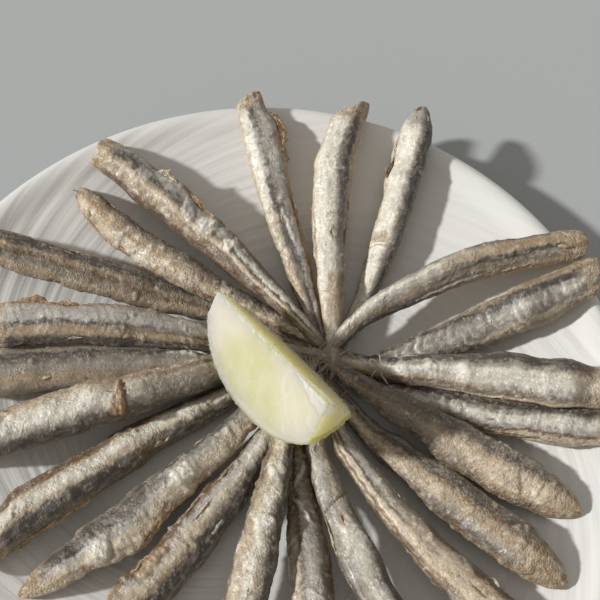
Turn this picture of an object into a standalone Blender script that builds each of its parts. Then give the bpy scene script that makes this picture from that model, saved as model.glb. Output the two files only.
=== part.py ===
"""Plate of fried anchovies.

A white glazed coupe plate carries a fan of floured and fried anchovies. The fish have no
heads, their tails meet a little off the middle of the plate, and a wedge of lemon lies on
the tails. The origin is under the middle of the plate, on the surface that it stands on:
+X is to the right of someone sitting at it, +Y is away from them and +Z is up.
Lengths are in metres, and the tables of the fish and their crust are in millimetres.
"""

import math
from typing import NamedTuple

import bmesh
import bpy
from mathutils import Euler, Matrix, Vector, noise
from mathutils.bvhtree import BVHTree

MM = 0.001
OBJECT_NAME = "plate_of_fried_anchovies"
SHARP_ANGLE = 45.0

# Plate
PLATE_RADIUS = 0.130
PLATE_HEIGHT = 0.0215
FLOOR_RADIUS = 0.058
FLOOR_TOP = 0.0055
RIM_CURVE = 1.5
WALL = 0.0042
LIP_RADIUS = 0.0017
FOOT_RADIUS = 0.070
FOOT_WIDTH = 0.006
FOOT_RECESS = 0.0014
FOOT_DRAFT = 0.0008
PLATE_STEPS = 72
WALL_RINGS = 6
LIP_POINTS = 4

# Anchovies
AROUND = 12
ALONG = 20
THICKNESS_OF_WIDTH = 0.72
BACK_FULLNESS = 0.16
# How far from the cut end a hooked or slanting end starts, in widths of the fish
HOOK_REACH = 2.5
NAPE_REACH = 2.0
FIN_LENGTH = 0.012
FIN_WIDTH = 0.0085
FIN_THICKNESS = 0.0012
FIN_NOTCH = 0.004
# Rings of the tail fin: share of its length and of its width
FIN_FORM = ((0.25, 0.70), (0.60, 0.90), (1.00, 1.15))
BODY_TAPER = ((0.00, 0.86), (0.20, 1.00), (0.50, 0.97), (0.80, 0.72), (1.00, 0.44))
# The crust's uneven thickness as a share of the body, its pitch along the fish, and how fast
# it changes round the body
CRUST_SWELL = 0.09
CRUST_SWELL_PITCH = 0.016
CRUST_SWELL_TURN = 0.7
CRUST_GRAIN = 0.05
CRUST_GRAIN_PITCH = 0.006
CRUST_GRAIN_TURN = 1.6
CRAG_SPREAD = 40.0
SEED_STEP = 7.3
# How far each ring lies inside the cut end, in millimetres, and its size there
CUT_ENDS = {
    "open": ((4.5, 0.0), (3.0, 0.50), (0.0, 0.82), (2.0, 1.0)),
    "round": ((0.0, 0.0), (1.0, 0.42), (4.5, 0.76), (10.0, 0.94)),
    "pointed": ((0.0, 0.0), (1.5, 0.26), (6.5, 0.55), (13.0, 0.80)),
    "slender": ((0.0, 0.0), (2.0, 0.22), (11.0, 0.46), (21.0, 0.74)),
}

# Laying the fish on the plate: the gap to what lies under them, the margin round each place
# where it is felt for, the steps along and across a fish, how far past its ends the feeling
# goes, the steepest slope that holds a fish up, and a height above everything
LAYING_GAP = 0.0006
SKIRT = 0.0009
STATION_STEP = 0.001
ACROSS_STEP = 0.001
OVERRUN = 0.10
STEEPEST = 0.28
SKY = 0.3

# Lemon
LEMON_RADIUS = 0.027
LEMON_HALF_LENGTH = 0.0354
LEMON_FULLNESS = 2.2
WEDGE_ANGLE = 66.0
FAR_TRIM = 0.0330
NEAR_TRIM = 0.0289
LEMON_RIDGE = (0.0070, 0.0115)
LEMON_HEADING = 142.0
LEMON_PITCH = 14.0
LEMON_ROLL = 7.0
LEMON_AROUND = 40
LEMON_ALONG = 20


class Anchovy(NamedTuple):
    """One fish as it lies, in millimetres and degrees.

    tip and tail are the places of its cut end and of its fin on the plate. bow is how far
    its middle lies to the left of the line from tail to tip, and hook how far the cut end
    turns to the left. lean turns the oval body about its length, and nape is how much
    further the back reaches than the belly.
    """

    name: str
    tip: tuple
    tail: tuple
    width: float
    bow: float
    hook: float
    lean: float
    back: str
    end: str
    nape: float


# In the order in which they are laid, the lowest first
ANCHOVIES = (
    Anchovy("anchovy_01", (22, -102), (11, 10), 13.5, 1.5, 0, 10, "left", "open", 2),
    Anchovy("anchovy_02", (-101, 63), (9, 36), 15.0, 0, 0, -12, "right", "open", 3),
    Anchovy("anchovy_03", (121, 48), (30, 18), 15.0, -2, 0, 10, "left", "open", 2),
    Anchovy("anchovy_04", (98, -58), (30, 5), 15.5, -1, 0, -8, "left", "pointed", 0),
    Anchovy("anchovy_05", (-86, -47), (6, 17), 16.0, -4.5, 0, 14, "left", "open", 3),
    Anchovy("anchovy_06", (-104, 12), (4, 23), 16.5, -1, 0, -10, "right", "open", 2),
    Anchovy("anchovy_07", (59, -93), (17, 6), 13.0, -6, 0, -12, "left", "open", 2),
    Anchovy("anchovy_08", (64, 124.5), (33, 31), 13.0, -2, 0, 16, "right", "round", 0),
    Anchovy("anchovy_09", (120, -8), (33, 16), 13.0, -4, 0, 12, "left", "open", 1),
    Anchovy("anchovy_10", (-41, -69), (14, 6), 15.0, 1.5, 0, -14, "left", "open", 2),
    Anchovy("anchovy_11", (-71, 88), (21, 32), 12.0, 6.5, -2, 14, "right", "round", 0),
    Anchovy("anchovy_12", (86, -76), (21, 5), 12.5, -5, 0, -10, "left", "open", 2),
    Anchovy("anchovy_13", (-96, 31), (4, 27), 15.0, -2.5, 0, 12, "right", "open", 2),
    Anchovy("anchovy_14", (-9, -99), (14, 8), 14.0, 0, 0, 12, "left", "open", 2),
    Anchovy("anchovy_15", (-5, 129), (24, 27), 13.0, 0.5, 0, -10, "right", "open", 2),
    Anchovy("anchovy_16", (-97, -11), (5, 23), 17.0, 1.5, 0, 10, "left", "open", 3),
    Anchovy("anchovy_17", (106, -35), (28, 18), 15.5, -2, 0, 10, "left", "pointed", 0),
    Anchovy("anchovy_18", (-73, -60), (9, 12), 15.5, 4.5, 0, -10, "right", "slender", 0),
    Anchovy("anchovy_19", (120, 4), (30, 20), 16.5, -0.5, 0, -8, "left", "open", 2),
    Anchovy("anchovy_20", (-62, 105), (19, 31), 14.5, -3, 0, 12, "right", "open", 2),
    Anchovy("anchovy_21", (32, 123), (28, 24), 15.0, 3, -4, -12, "right", "open", 4),
    Anchovy("anchovy_22", (119, 61), (21, 22), 12.5, 9.5, 0, 14, "left", "open", 2),
)


class Crag(NamedTuple):
    """A thick place in the crust: distance from the cut end, angle round the body from its
    back, height and reach along the body, in millimetres and degrees."""

    fish: str
    along: float
    angle: float
    height: float
    reach: float


CRAGS = (
    Crag("anchovy_15", 17, 30, 2.4, 6),
    Crag("anchovy_15", 30, 40, 1.4, 6),
    Crag("anchovy_08", 32, 190, 1.8, 3),
    Crag("anchovy_08", 22, 175, 1.2, 4),
    Crag("anchovy_20", 36, 20, 2.0, 5),
    Crag("anchovy_13", 12, 35, 2.6, 9),
    Crag("anchovy_05", 18, 150, 2.4, 9),
    Crag("anchovy_16", 42, 90, 1.6, 3),
    Crag("anchovy_18", 38, 185, 2.6, 9),
    Crag("anchovy_18", 14, 160, 1.6, 6),
    Crag("anchovy_10", 5, 150, 2.8, 5),
    Crag("anchovy_12", 12, 60, 1.8, 5),
    Crag("anchovy_19", 36, 20, 1.4, 4),
    Crag("anchovy_03", 26, 100, 1.2, 5),
    Crag("anchovy_17", 12, 70, 1.4, 6),
    Crag("anchovy_04", 16, 60, 1.2, 6),
)

# Colours (linear), roughness
GLAZE = ((0.80, 0.80, 0.78), 0.25)
RIND = ((0.66, 0.64, 0.24), 0.45)
FISH_COLOURS = (
    ((0.33, 0.29, 0.23), 0.60),
    ((0.25, 0.22, 0.18), 0.55),
    ((0.42, 0.37, 0.29), 0.65),
)


def clear_scene():
    """Remove whatever the file holds."""
    for old in list(bpy.data.objects):
        bpy.data.objects.remove(old, do_unlink=True)


def new_collection(name):
    """A collection linked to the scene."""
    collection = bpy.data.collections.new(name)
    bpy.context.scene.collection.children.link(collection)
    return collection


def new_material(name, colour, roughness):
    """A plain Principled material."""
    material = bpy.data.materials.new(name)
    material.use_nodes = True
    shader = material.node_tree.nodes["Principled BSDF"]
    shader.inputs["Base Color"].default_value = (*colour, 1.0)
    shader.inputs["Roughness"].default_value = roughness
    shader.inputs["Metallic"].default_value = 0.0
    material.diffuse_color = (*colour, 1.0)
    return material


def new_object(name, bm, material, collection):
    """Turn a bmesh into a smooth-shaded object."""
    mesh = bpy.data.meshes.new(name)
    bm.to_mesh(mesh)
    bm.free()
    mesh.shade_smooth()
    mesh.set_sharp_from_angle(angle=math.radians(SHARP_ANGLE))
    mesh.materials.append(material)
    made = bpy.data.objects.new(name, mesh)
    collection.objects.link(made)
    return made


def between(pairs, at):
    """Read a smooth curve through (place, value) pairs."""
    for (left, low), (right, high) in zip(pairs, pairs[1:]):
        if at <= right:
            share = max(0.0, (at - left) / (right - left))
            return low + (high - low) * share * share * (3 - 2 * share)
    return pairs[-1][1]


def plate_top(radius):
    """Height of the plate's upper surface: a flat floor, then a wall that steepens."""
    rise = max(0.0, radius - FLOOR_RADIUS) / (PLATE_RADIUS - FLOOR_RADIUS)
    return FLOOR_TOP + (PLATE_HEIGHT - FLOOR_TOP) * rise ** RIM_CURVE


def plate_profile():
    """Half section of the plate as (radius, height), from the top of the axis, over the lip
    and back to the axis along the foot."""
    wall_end = PLATE_RADIUS - LIP_RADIUS
    radii = [FLOOR_RADIUS + (wall_end - FLOOR_RADIUS) * i / WALL_RINGS for i in range(WALL_RINGS + 1)]
    top = [(0.0, FLOOR_TOP)] + [(r, plate_top(r)) for r in radii]
    lip_height = top[-1][1] - LIP_RADIUS
    turns = [math.pi / 2 - math.pi * i / (LIP_POINTS + 1) for i in range(1, LIP_POINTS + 1)]
    lip = [(wall_end + LIP_RADIUS * math.cos(a), lip_height + LIP_RADIUS * math.sin(a)) for a in turns]
    under = [(r, plate_top(r) - WALL) for r in reversed(radii[2:])]
    foot = [
        (FOOT_RADIUS, plate_top(FOOT_RADIUS) - WALL),
        (FOOT_RADIUS - FOOT_DRAFT, 0.0),
        (FOOT_RADIUS - FOOT_WIDTH, 0.0),
        (FOOT_RADIUS - FOOT_WIDTH - FOOT_DRAFT, FOOT_RECESS),
        (0.0, FOOT_RECESS),
    ]
    return top + lip + under + foot


def make_plate(collection):
    """Turn the half section round the Z axis."""
    bm = bmesh.new()
    points = [bm.verts.new((r, 0.0, z)) for r, z in plate_profile()]
    for start, end in zip(points, points[1:]):
        bm.edges.new((start, end))
    plate = new_object("plate", bm, new_material("glaze", *GLAZE), collection)
    screw = plate.modifiers.new("turn", "SCREW")
    screw.axis = "Z"
    screw.angle = math.tau
    screw.steps = PLATE_STEPS
    screw.render_steps = PLATE_STEPS
    screw.use_merge_vertices = True
    screw.merge_threshold = 0.00001
    return plate


def ring_plan(fish, length):
    """For each ring from the cut end to the fin: its place along the fish and its size."""
    end = [(inside * MM, size) for inside, size in CUT_ENDS[fish.end]]
    body_rings = ALONG - len(end) - len(FIN_FORM)
    start = end[-1][0]
    step = (length - FIN_LENGTH - start) / body_rings
    body = [(start + step * i, 1.0) for i in range(1, body_rings + 1)]
    return end + body


def body_ring(at, length, fish):
    """Half width and half thickness of the body at a place along it."""
    taper = between(BODY_TAPER, at / (length - FIN_LENGTH))
    half_width = fish.width * MM / 2 * taper
    return half_width, half_width * THICKNESS_OF_WIDTH


def crust(fish, seed, at, angle):
    """Share by which the crust stands out at a place on the fish."""
    turn = Vector((0.0, math.cos(angle), math.sin(angle)))
    swell = noise.noise(turn * CRUST_SWELL_TURN + Vector((at / CRUST_SWELL_PITCH, seed, 0.0)))
    grain = noise.noise(turn * CRUST_GRAIN_TURN + Vector((at / CRUST_GRAIN_PITCH, 0.0, seed)))
    return 1.0 + CRUST_SWELL * swell + CRUST_GRAIN * grain


def crag_height(fish, at, angle):
    """How far the thick places of the crust stand out at a place on the fish."""
    height = 0.0
    for crag in CRAGS:
        if crag.fish == fish.name:
            along = (at / MM - crag.along) / crag.reach
            turn = math.remainder(angle - math.radians(crag.angle), math.tau) / math.radians(CRAG_SPREAD)
            height += crag.height * MM * math.exp(-along * along - turn * turn)
    return height


def bend_of(fish, at, length):
    """How far the spine lies aside of the line from tip to tail."""
    share = at / length
    near_end = max(0.0, 1 - at / (HOOK_REACH * fish.width * MM))
    return -(4 * fish.bow * share * (1 - share) + fish.hook * near_end ** 2) * MM


def fish_line(fish):
    """Length of the line from tip to tail, its place and its heading."""
    tip = Vector((*fish.tip, 0.0)) * MM
    tail = Vector((*fish.tail, 0.0)) * MM
    run = tail - tip
    return run.length, tip, math.atan2(run.y, run.x)


def fin_point(ring, cross, rise, length):
    """A point of the tail fin: a thin fan with a notch in its end."""
    if ring == len(FIN_FORM):
        return length - FIN_NOTCH - FIN_THICKNESS, 0.0, 0.0
    share, spread = FIN_FORM[ring]
    at = length - FIN_LENGTH * (1 - share) - FIN_NOTCH * share * (1 - abs(cross))
    return at, FIN_WIDTH / 2 * spread * cross, FIN_THICKNESS / 2 * rise


def make_fish(fish, seed):
    """Shape a sphere into a fish that lies along X from its cut end, with its spine at Z = 0."""
    length = fish_line(fish)[0]
    plan = ring_plan(fish, length)
    side = 1 if fish.back == "left" else -1
    lean = Matrix.Rotation(math.radians(fish.lean), 2)
    bm = bmesh.new()
    bmesh.ops.create_uvsphere(bm, u_segments=AROUND, v_segments=ALONG, radius=1.0)
    for vert in bm.verts:
        latitude = math.acos(max(-1.0, min(1.0, vert.co.z)))
        ring = round(latitude / math.pi * ALONG)
        angle = math.atan2(vert.co.y, vert.co.x)
        cross, rise = math.cos(angle), math.sin(angle)
        if ring < len(plan):
            at, size = plan[ring]
            half_width, half_height = body_ring(at, length, fish)
            bulge = crust(fish, seed, at, angle) * size
            lump = crag_height(fish, at, angle) * size
            at -= fish.nape * MM * cross * max(0.0, 1 - at / (NAPE_REACH * fish.width * MM))
            sideways = (half_width * bulge + lump) * cross
            upwards = (half_height * bulge + lump) * rise * (1 + BACK_FULLNESS * cross)
        else:
            at, sideways, upwards = fin_point(ring - len(plan), cross, rise, length)
        section = lean @ Vector((sideways, upwards))
        vert.co = (at, bend_of(fish, at, length) - side * section.x, section.y)
    if side < 0:
        bmesh.ops.reverse_faces(bm, faces=bm.faces)
    return bm


def solid_of(bm, matrix):
    """A solid as (points, polygons) in world coordinates."""
    bm.verts.index_update()
    return [matrix @ v.co for v in bm.verts], [[v.index for v in f.verts] for f in bm.faces]


def tree_of(solids):
    """One search tree over several solids."""
    points = []
    polygons = []
    for solid_points, solid_polygons in solids:
        first = len(points)
        points += solid_points
        polygons += [[first + i for i in polygon] for polygon in solid_polygons]
    return BVHTree.FromPolygons(points, polygons)


def evaluated_solid(made):
    """The solid of an object with its modifiers."""
    depsgraph = bpy.context.evaluated_depsgraph_get()
    bm = bmesh.new()
    bm.from_mesh(made.evaluated_get(depsgraph).to_mesh())
    return solid_of(bm, made.matrix_world)


def top_under(pile, x, y):
    """Height of the pile just round a place, or None beside it."""
    tops = []
    for dx, dy in ((0, 0), (SKIRT, 0), (-SKIRT, 0), (0, SKIRT), (0, -SKIRT)):
        hit = pile.ray_cast(Vector((x + dx, y + dy, SKY)), Vector((0, 0, -1)))[0]
        if hit is not None:
            tops.append(hit.z)
    return max(tops, default=None)


def lift_needed(own, pile, places):
    """How far a solid has to rise to clear the pile over some places."""
    needs = []
    for x, y in places:
        bottom = own.ray_cast(Vector((x, y, -SKY)), Vector((0, 0, 1)))[0]
        top = top_under(pile, x, y) if bottom is not None else None
        if top is not None:
            needs.append(top - bottom.z + LAYING_GAP)
    return max(needs, default=None)


def lifts_along(bm, fish, matrix, pile):
    """The lift that a fish needs at each place along it, as (place, lift) pairs."""
    own = tree_of([solid_of(bm, matrix)])
    length = fish_line(fish)[0]
    reach = round(fish.width * MM / ACROSS_STEP)
    lifts = []
    for i in range(round((1 + 2 * OVERRUN) * length / STATION_STEP)):
        place = i * STATION_STEP - OVERRUN * length
        bend = bend_of(fish, place, length)
        across = [bend + j * ACROSS_STEP for j in range(-reach, reach + 1)]
        lift = lift_needed(own, pile, [(matrix @ Vector((place, y, 0.0)))[:2] for y in across])
        if lift is not None:
            lifts.append((place, lift))
    return lifts


def slope(start, end):
    """Slope between two (place, lift) pairs."""
    return (end[1] - start[1]) / (end[0] - start[0])


def stiff_line(lifts):
    """Lowest line over (place, lift) pairs that never sags between the places it rests on.

    The rounded ends of a fish need little lift, so the steep stretches there are left out
    and the line runs on straight past them.
    """
    corners = []
    for place, lift in lifts:
        while len(corners) > 1:
            (x0, z0), (x1, z1) = corners[-2:]
            if (z1 - z0) * (place - x0) > (lift - z0) * (x1 - x0):
                break
            corners.pop()
        corners.append((place, lift))
    while len(corners) > 2 and abs(slope(*corners[:2])) > STEEPEST:
        corners.pop(0)
    while len(corners) > 2 and abs(slope(*corners[-2:])) > STEEPEST:
        corners.pop()
    return corners


def read_line(corners, place):
    """Height of that line at a place; its end stretches run on straight."""
    for (x0, z0), (x1, z1) in zip(corners, corners[1:]):
        if place <= x1:
            break
    return z0 + (z1 - z0) * (place - x0) / (x1 - x0)


def lay_fish(bm, fish, matrix, pile):
    """Raise a fish until it rests on what lies under it, stiff as a fried fish is."""
    corners = stiff_line(lifts_along(bm, fish, matrix, pile))
    for vert in bm.verts:
        vert.co.z += read_line(corners, vert.co.x)
    settle = max(lift for _, lift in lifts_along(bm, fish, matrix, pile))
    bmesh.ops.translate(bm, verts=bm.verts, vec=(0.0, 0.0, settle))


def make_anchovies(collection, solids):
    """Lay the fish one after another on the plate and on each other."""
    materials = [new_material(f"fried_skin_{i + 1}", *look) for i, look in enumerate(FISH_COLOURS)]
    for number, fish in enumerate(ANCHOVIES):
        _, tip, heading = fish_line(fish)
        matrix = Matrix.Translation(tip) @ Matrix.Rotation(heading, 4, "Z")
        bm = make_fish(fish, seed=number * SEED_STEP)
        lay_fish(bm, fish, matrix, tree_of(solids))
        solids.append(solid_of(bm, matrix))
        made = new_object(fish.name, bm, materials[number % len(materials)], collection)
        made.location = tip
        made.rotation_euler = (0.0, 0.0, heading)


def lemon_radius(along):
    """Radius of the whole lemon at a distance from its middle."""
    return LEMON_RADIUS * math.sqrt(max(0.0, 1 - abs(along / LEMON_HALF_LENGTH) ** LEMON_FULLNESS))


def trim(bm, point, outward):
    """Cut a solid by a plane and close the cut."""
    everything = bm.verts[:] + bm.edges[:] + bm.faces[:]
    cut = bmesh.ops.bisect_plane(bm, geom=everything, plane_co=point, plane_no=outward, clear_outer=True)
    edges = [e for e in cut["geom_cut"] if isinstance(e, bmesh.types.BMEdge)]
    bmesh.ops.edgeloop_fill(bm, edges=edges)


def make_lemon(collection, solids):
    """Cut a wedge from a whole lemon and lay it on the tails, rind down."""
    bm = bmesh.new()
    bmesh.ops.create_uvsphere(bm, u_segments=LEMON_AROUND, v_segments=LEMON_ALONG, radius=1.0)
    for vert in bm.verts:
        along = vert.co.z * LEMON_HALF_LENGTH
        around = math.atan2(vert.co.y, vert.co.x)
        radius = lemon_radius(along)
        vert.co = (along, radius * math.cos(around), radius * math.sin(around))
    half = math.radians(WEDGE_ANGLE / 2)
    trim(bm, (0, 0, 0), (0, math.cos(half), math.sin(half)))
    trim(bm, (0, 0, 0), (0, -math.cos(half), math.sin(half)))
    trim(bm, (NEAR_TRIM, 0, 0), (1, 0, 0))
    trim(bm, (-FAR_TRIM, 0, 0), (-1, 0, 0))
    bmesh.ops.recalc_face_normals(bm, faces=bm.faces)
    turn = Euler([math.radians(a) for a in (-LEMON_ROLL, -LEMON_PITCH, 90 - LEMON_HEADING)])
    matrix = Matrix.Translation((*LEMON_RIDGE, 0.0)) @ turn.to_matrix().to_4x4()
    own = tree_of([solid_of(bm, matrix)])
    reach = round(LEMON_HALF_LENGTH / ACROSS_STEP)
    steps = [i * ACROSS_STEP for i in range(-reach, reach + 1)]
    places = [(LEMON_RIDGE[0] + dx, LEMON_RIDGE[1] + dy) for dx in steps for dy in steps]
    lemon = new_object("lemon_wedge", bm, new_material("lemon", *RIND), collection)
    lemon.location = (*LEMON_RIDGE, lift_needed(own, tree_of(solids), places))
    lemon.rotation_euler = turn


def main():
    """Build the plate, the fish and the lemon."""
    clear_scene()
    parts = new_collection(OBJECT_NAME)
    plate = make_plate(parts)
    bpy.context.view_layer.update()
    solids = [evaluated_solid(plate)]
    make_anchovies(parts, solids)
    make_lemon(parts, solids)


main()
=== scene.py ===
"""Looks of a plate of fried anchovies, built round the fixed frame.

The fish, the lemon and the plate take their places and forms from the frame's nodes. This
script gives them their fine surface: wrinkled and blistered skin under a floury crust, narrow
dried tails with loose rays, ragged edges of batter, cut lemon with its pith and pulp, and a
white glaze over streaked ridges. Lengths in the tables and in the reliefs are in millimetres,
and elsewhere in metres.
"""

import functools
import itertools
import math
from typing import NamedTuple

import bmesh
import bpy
import numpy as np
from bpy.props import FloatProperty, FloatVectorProperty, PointerProperty
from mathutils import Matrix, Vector


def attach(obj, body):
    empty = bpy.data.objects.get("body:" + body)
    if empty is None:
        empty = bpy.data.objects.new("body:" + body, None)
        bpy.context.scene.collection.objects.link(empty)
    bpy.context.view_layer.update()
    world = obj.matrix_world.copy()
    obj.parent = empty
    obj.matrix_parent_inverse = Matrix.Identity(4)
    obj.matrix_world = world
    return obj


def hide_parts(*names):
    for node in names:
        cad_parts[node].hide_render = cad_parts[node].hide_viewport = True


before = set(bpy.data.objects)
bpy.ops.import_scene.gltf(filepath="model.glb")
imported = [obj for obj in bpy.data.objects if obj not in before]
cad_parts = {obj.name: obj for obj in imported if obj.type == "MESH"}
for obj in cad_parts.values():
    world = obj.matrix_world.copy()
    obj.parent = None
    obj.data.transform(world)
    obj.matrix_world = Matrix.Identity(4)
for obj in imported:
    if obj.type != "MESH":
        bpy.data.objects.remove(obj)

bl_info = {
    "name": "Plate of Fried Anchovies",
    "version": (1, 0, 0),
    "blender": (4, 5, 0),
    "location": "3D View > Sidebar > Food",
    "description": "Fried anchovies with lemon on a glazed coupe plate",
    "category": "Object",
}

MM = 0.001
MERGE = 0.00001
BODY = "root"

# Where the tails meet on the plate
TAILS_MEET = Vector((0.018, 0.020))

# Fine mesh of a fish: points round it and along it, and where its parts lie among the rings
# of its solid
ROUND_POINTS = 84
LONG_POINTS = 280
RING_STEPS = 8
RIM_RING = 2.0
FIN_RING = 17.2
LAST_RING = 20.0

# Cut ends that taper, how far along they do, and how full and how round they get
BLUNT = {"anchovy_04": 0.016, "anchovy_17": 0.014, "anchovy_18": 0.022}
TIP_FULL = 1.8
TIP_ROUND = 0.55

# Fish whose undersides sag towards the plate between its rim and the pile, by what share, and
# the rings between which the sag comes and goes
SAGS = {"anchovy_21": 0.9, "anchovy_15": 0.5, "anchovy_08": 0.5}
SAG_COMES = (5, 9)
SAG_GOES = (16.5, 13.5)

# Tails: the ring where they start to narrow, and how many rows before it show their slope; how
# far past the crossing and aside they may run, at least how far they run, and how much they
# sink; how much sooner those from the front end, under the lemon; and how straight they go,
# their half width and half height near the end, and how much they widen at it
TAILS_CROSS = Vector((0.026, 0.022))
TAIL_RING = 14.6
TAIL_ROWS = 20
TAIL_PAST = (-4.0, 5.0)
TAIL_ASIDE = 1.5
TAIL_RUN = 0.014
TAIL_SINK = (-5.0, 0.5)
TAIL_HEIGHTS = (0.0075, 0.022)
TAIL_UNDER = 0.010
FROM_FRONT = 0.75
TAIL_STRAIGHT = 0.45
TAIL_WIDE = 1.3
TAIL_THICK = 0.9
TAIL_FLARE = 0.2

# Trim of all colours of the fish, and how near white the lemon's may come
SKIN_TINT = (0.935, 0.93, 0.905)
BRIGHTEST = 0.99

# Photograph's view
VIEW_PLACE = (0.0155, -0.1143, 0.3133)
VIEW_TILT = 28.0
VIEW_ANGLE = 36.0


class Look(NamedTuple):
    """How one fish is coloured and how rough its skin is.

    back is the side of its back, seen from its cut end. crust is how much of it the flour
    covers. pitch and folds are the spacing and the height of the folds across its flank, and
    blisters the height of its blisters. gold is how far its golden end reaches from the cut.
    bands names its tones near the cut end and tail_bands those near the tail, with the angles
    where they lie, in degrees round the body from the back over the top to the belly.
    """

    back: str
    crust: float
    pitch: float
    folds: float
    blisters: float
    gold: float
    bands: str
    tail_bands: str


LOOKS = {
    "anchovy_01": Look(
        "left", 0.45, 5.0, 0.25, 0.15, 3,
        "brown 30, smoke 58, silver 70 97, smoke 115, cream 136 165, tan 210",
        "brown 35, smoke 60, ash 91, brown 115, tan 140, brown 170",
    ),
    "anchovy_02": Look(
        "right", 0.50, 3.0, 0.10, 0.08, 2,
        "tan 30, slate 55 76, tan 90, brown 108, smoke 125, tan 150, smoke 200",
        "tan 35, smoke 52, slate 66 80, smoke 97, brown 115, tan 135, smoke 165",
    ),
    "anchovy_03": Look(
        "left", 0.22, 3.9, 0.38, 0.08, 3,
        "gold 34, tan 50, slate 60 72, silver 84, white 98, silver 114, ash 130, cream 148, tan 168",
        "gold 30, smoke 44, slate 58, ash 76 94, silver 110, ash 135, smoke 160",
    ),
    "anchovy_04": Look(
        "left", 0.80, 2.5, 0.06, 0.10, 19,
        "ash 32, slate 50 67, brown 80, tan 92 115, ash 127, slate 145, brown 168",
        "smoke 30, ash 48, slate 64 74, tan 90, cream 105 122, tan 139, slate 160",
    ),
    "anchovy_05": Look(
        "left", 0.50, 3.0, 0.10, 0.25, 5,
        "brown 5, smoke 22, slate 42 63, cream 74, white 86 100, cream 112, brown 136",
        "smoke 5, slate 26 46, smoke 59, cream 72, white 88 104, cream 122, brown 150",
    ),
    "anchovy_06": Look(
        "right", 0.25, 3.0, 0.06, 0.05, 2,
        "tan 34, ash 50, slate 62 70, smoke 84, ash 100, tan 130, ash 153, tan 175",
        "brown 34, smoke 48, slate 60, ash 74, silver 97, tan 122, ash 150",
    ),
    "anchovy_07": Look(
        "left", 0.20, 6.0, 0.20, 0.12, 2,
        "slate 25 46, silver 66, white 84 100, ash 115, smoke 131, slate 155",
        "smoke 27, ash 52, cream 73, ash 93, silver 112, ash 131, brown 160",
    ),
    "anchovy_08": Look(
        "right", 0.25, 3.5, 0.08, 0.14, 2,
        "smoke 12, slate 34 56, ash 68, white 82 150, cream 172",
        "smoke 15, slate 36, ash 60, white 84 150, cream 172",
    ),
    "anchovy_09": Look(
        "left", 0.30, 5.0, 0.50, 0.08, 2,
        "tan 40, slate 56 68, ash 80, white 94 112, silver 135, brown 152, cream 165 185",
        "tan 34, slate 46 62, ash 76, white 92 110, silver 128, tan 158, smoke 185",
    ),
    "anchovy_10": Look(
        "left", 0.35, 3.6, 0.20, 0.20, 4,
        "smoke 345, slate 20 58, tan 72, cream 86 100, silver 112, brown 132 160",
        "smoke 345, slate 24 56, ash 66, silver 80, white 94, silver 112, brown 140",
    ),
    "anchovy_11": Look(
        "right", 0.70, 4.0, 0.12, 0.30, 6,
        "brown 45, smoke 64, tan 80, gold 97, cream 118 150, tan 180",
        "slate 40 58, smoke 76, tan 92, cream 112, tan 140, brown 165",
    ),
    "anchovy_12": Look(
        "left", 0.30, 4.0, 0.10, 0.10, 4,
        "smoke 28, brown 48, tan 64, cream 82 122, tan 134, brown 150",
        "smoke 28, ash 50, silver 66 80, slate 98, cream 108 134, brown 155",
    ),
    "anchovy_13": Look(
        "right", 0.25, 3.2, 0.18, 0.10, 4,
        "tan 45, silver 62 90, slate 104, tan 118 142, slate 164 180",
        "ash 45, silver 62 98, ash 110, slate 120, tan 134 155, slate 172, ash 190",
    ),
    "anchovy_14": Look(
        "left", 0.60, 4.5, 0.15, 0.35, 4,
        "slate 17 45, smoke 56, cream 70, white 90, cream 115 145, brown 172",
        "slate 17 50, ash 62, white 80, cream 97 115, tan 132, brown 155",
    ),
    "anchovy_15": Look(
        "right", 0.25, 3.0, 0.1, 0.22, 5,
        "gold 20, tan 44, silver 56 80, ash 92, slate 103 112, white 124 145, cream 165",
        "gold 25, brown 42, silver 56 74, slate 88 98, smoke 108, tan 124 150, brown 170",
    ),
    "anchovy_16": Look(
        "left", 0.50, 4.0, 0.10, 0.25, 4,
        "smoke 345, slate 10 42, ash 56, white 70 90, cream 117, tan 150",
        "slate 0 28, smoke 48, ash 66, tan 90, silver 106, brown 122, tan 150",
    ),
    "anchovy_17": Look(
        "left", 0.75, 3.5, 0.08, 0.15, 12,
        "ash 41, smoke 58, slate 70, tan 82, cream 96 136, tan 152, brown 172",
        "smoke 41, slate 62 80, brown 94, tan 110, smoke 130, slate 155",
    ),
    "anchovy_18": Look(
        "right", 0.45, 4.2, 0.15, 0.35, 12,
        "smoke 28, slate 50 78, silver 95, cream 115, tan 136, cream 152, brown 175",
        "slate 28 46, ash 60, silver 80, cream 102 125, tan 145, brown 167",
    ),
    "anchovy_19": Look(
        "left", 0.22, 5.6, 0.22, 0.12, 5,
        "smoke 24, slate 50 62, ash 70, white 88 118, silver 128, smoke 143, cream 158",
        "slate 30 60, ash 75, white 94, silver 112, tan 129, brown 143, smoke 165",
    ),
    "anchovy_20": Look(
        "right", 0.18, 4.4, 0.08, 0.22, 4,
        "gold 22, brown 38, silver 52, ash 64, slate 77 85, tan 96, cream 112, tan 130 150, brown 168",
        "brown 43, smoke 54, silver 68, white 80, slate 93, tan 104, cream 114, brown 130 160",
    ),
    "anchovy_21": Look(
        "right", 0.25, 3.0, 0.06, 0.14, 7,
        "cream 14, tan 30, ash 44, slate 54 66, ash 78, white 92 140, cream 165",
        "tan 12, smoke 34, ash 58, white 80 125, cream 150, tan 172",
    ),
    "anchovy_22": Look(
        "left", 0.32, 3.4, 0.12, 0.14, 6,
        "ash 10, slate 28 46, smoke 54, tan 64, gold 76, tan 92, slate 104 111, ash 128, smoke 150, tan 170",
        "ash 24, silver 44, white 62, silver 84, ash 100, tan 118, smoke 138, slate 158",
    ),
}


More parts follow.
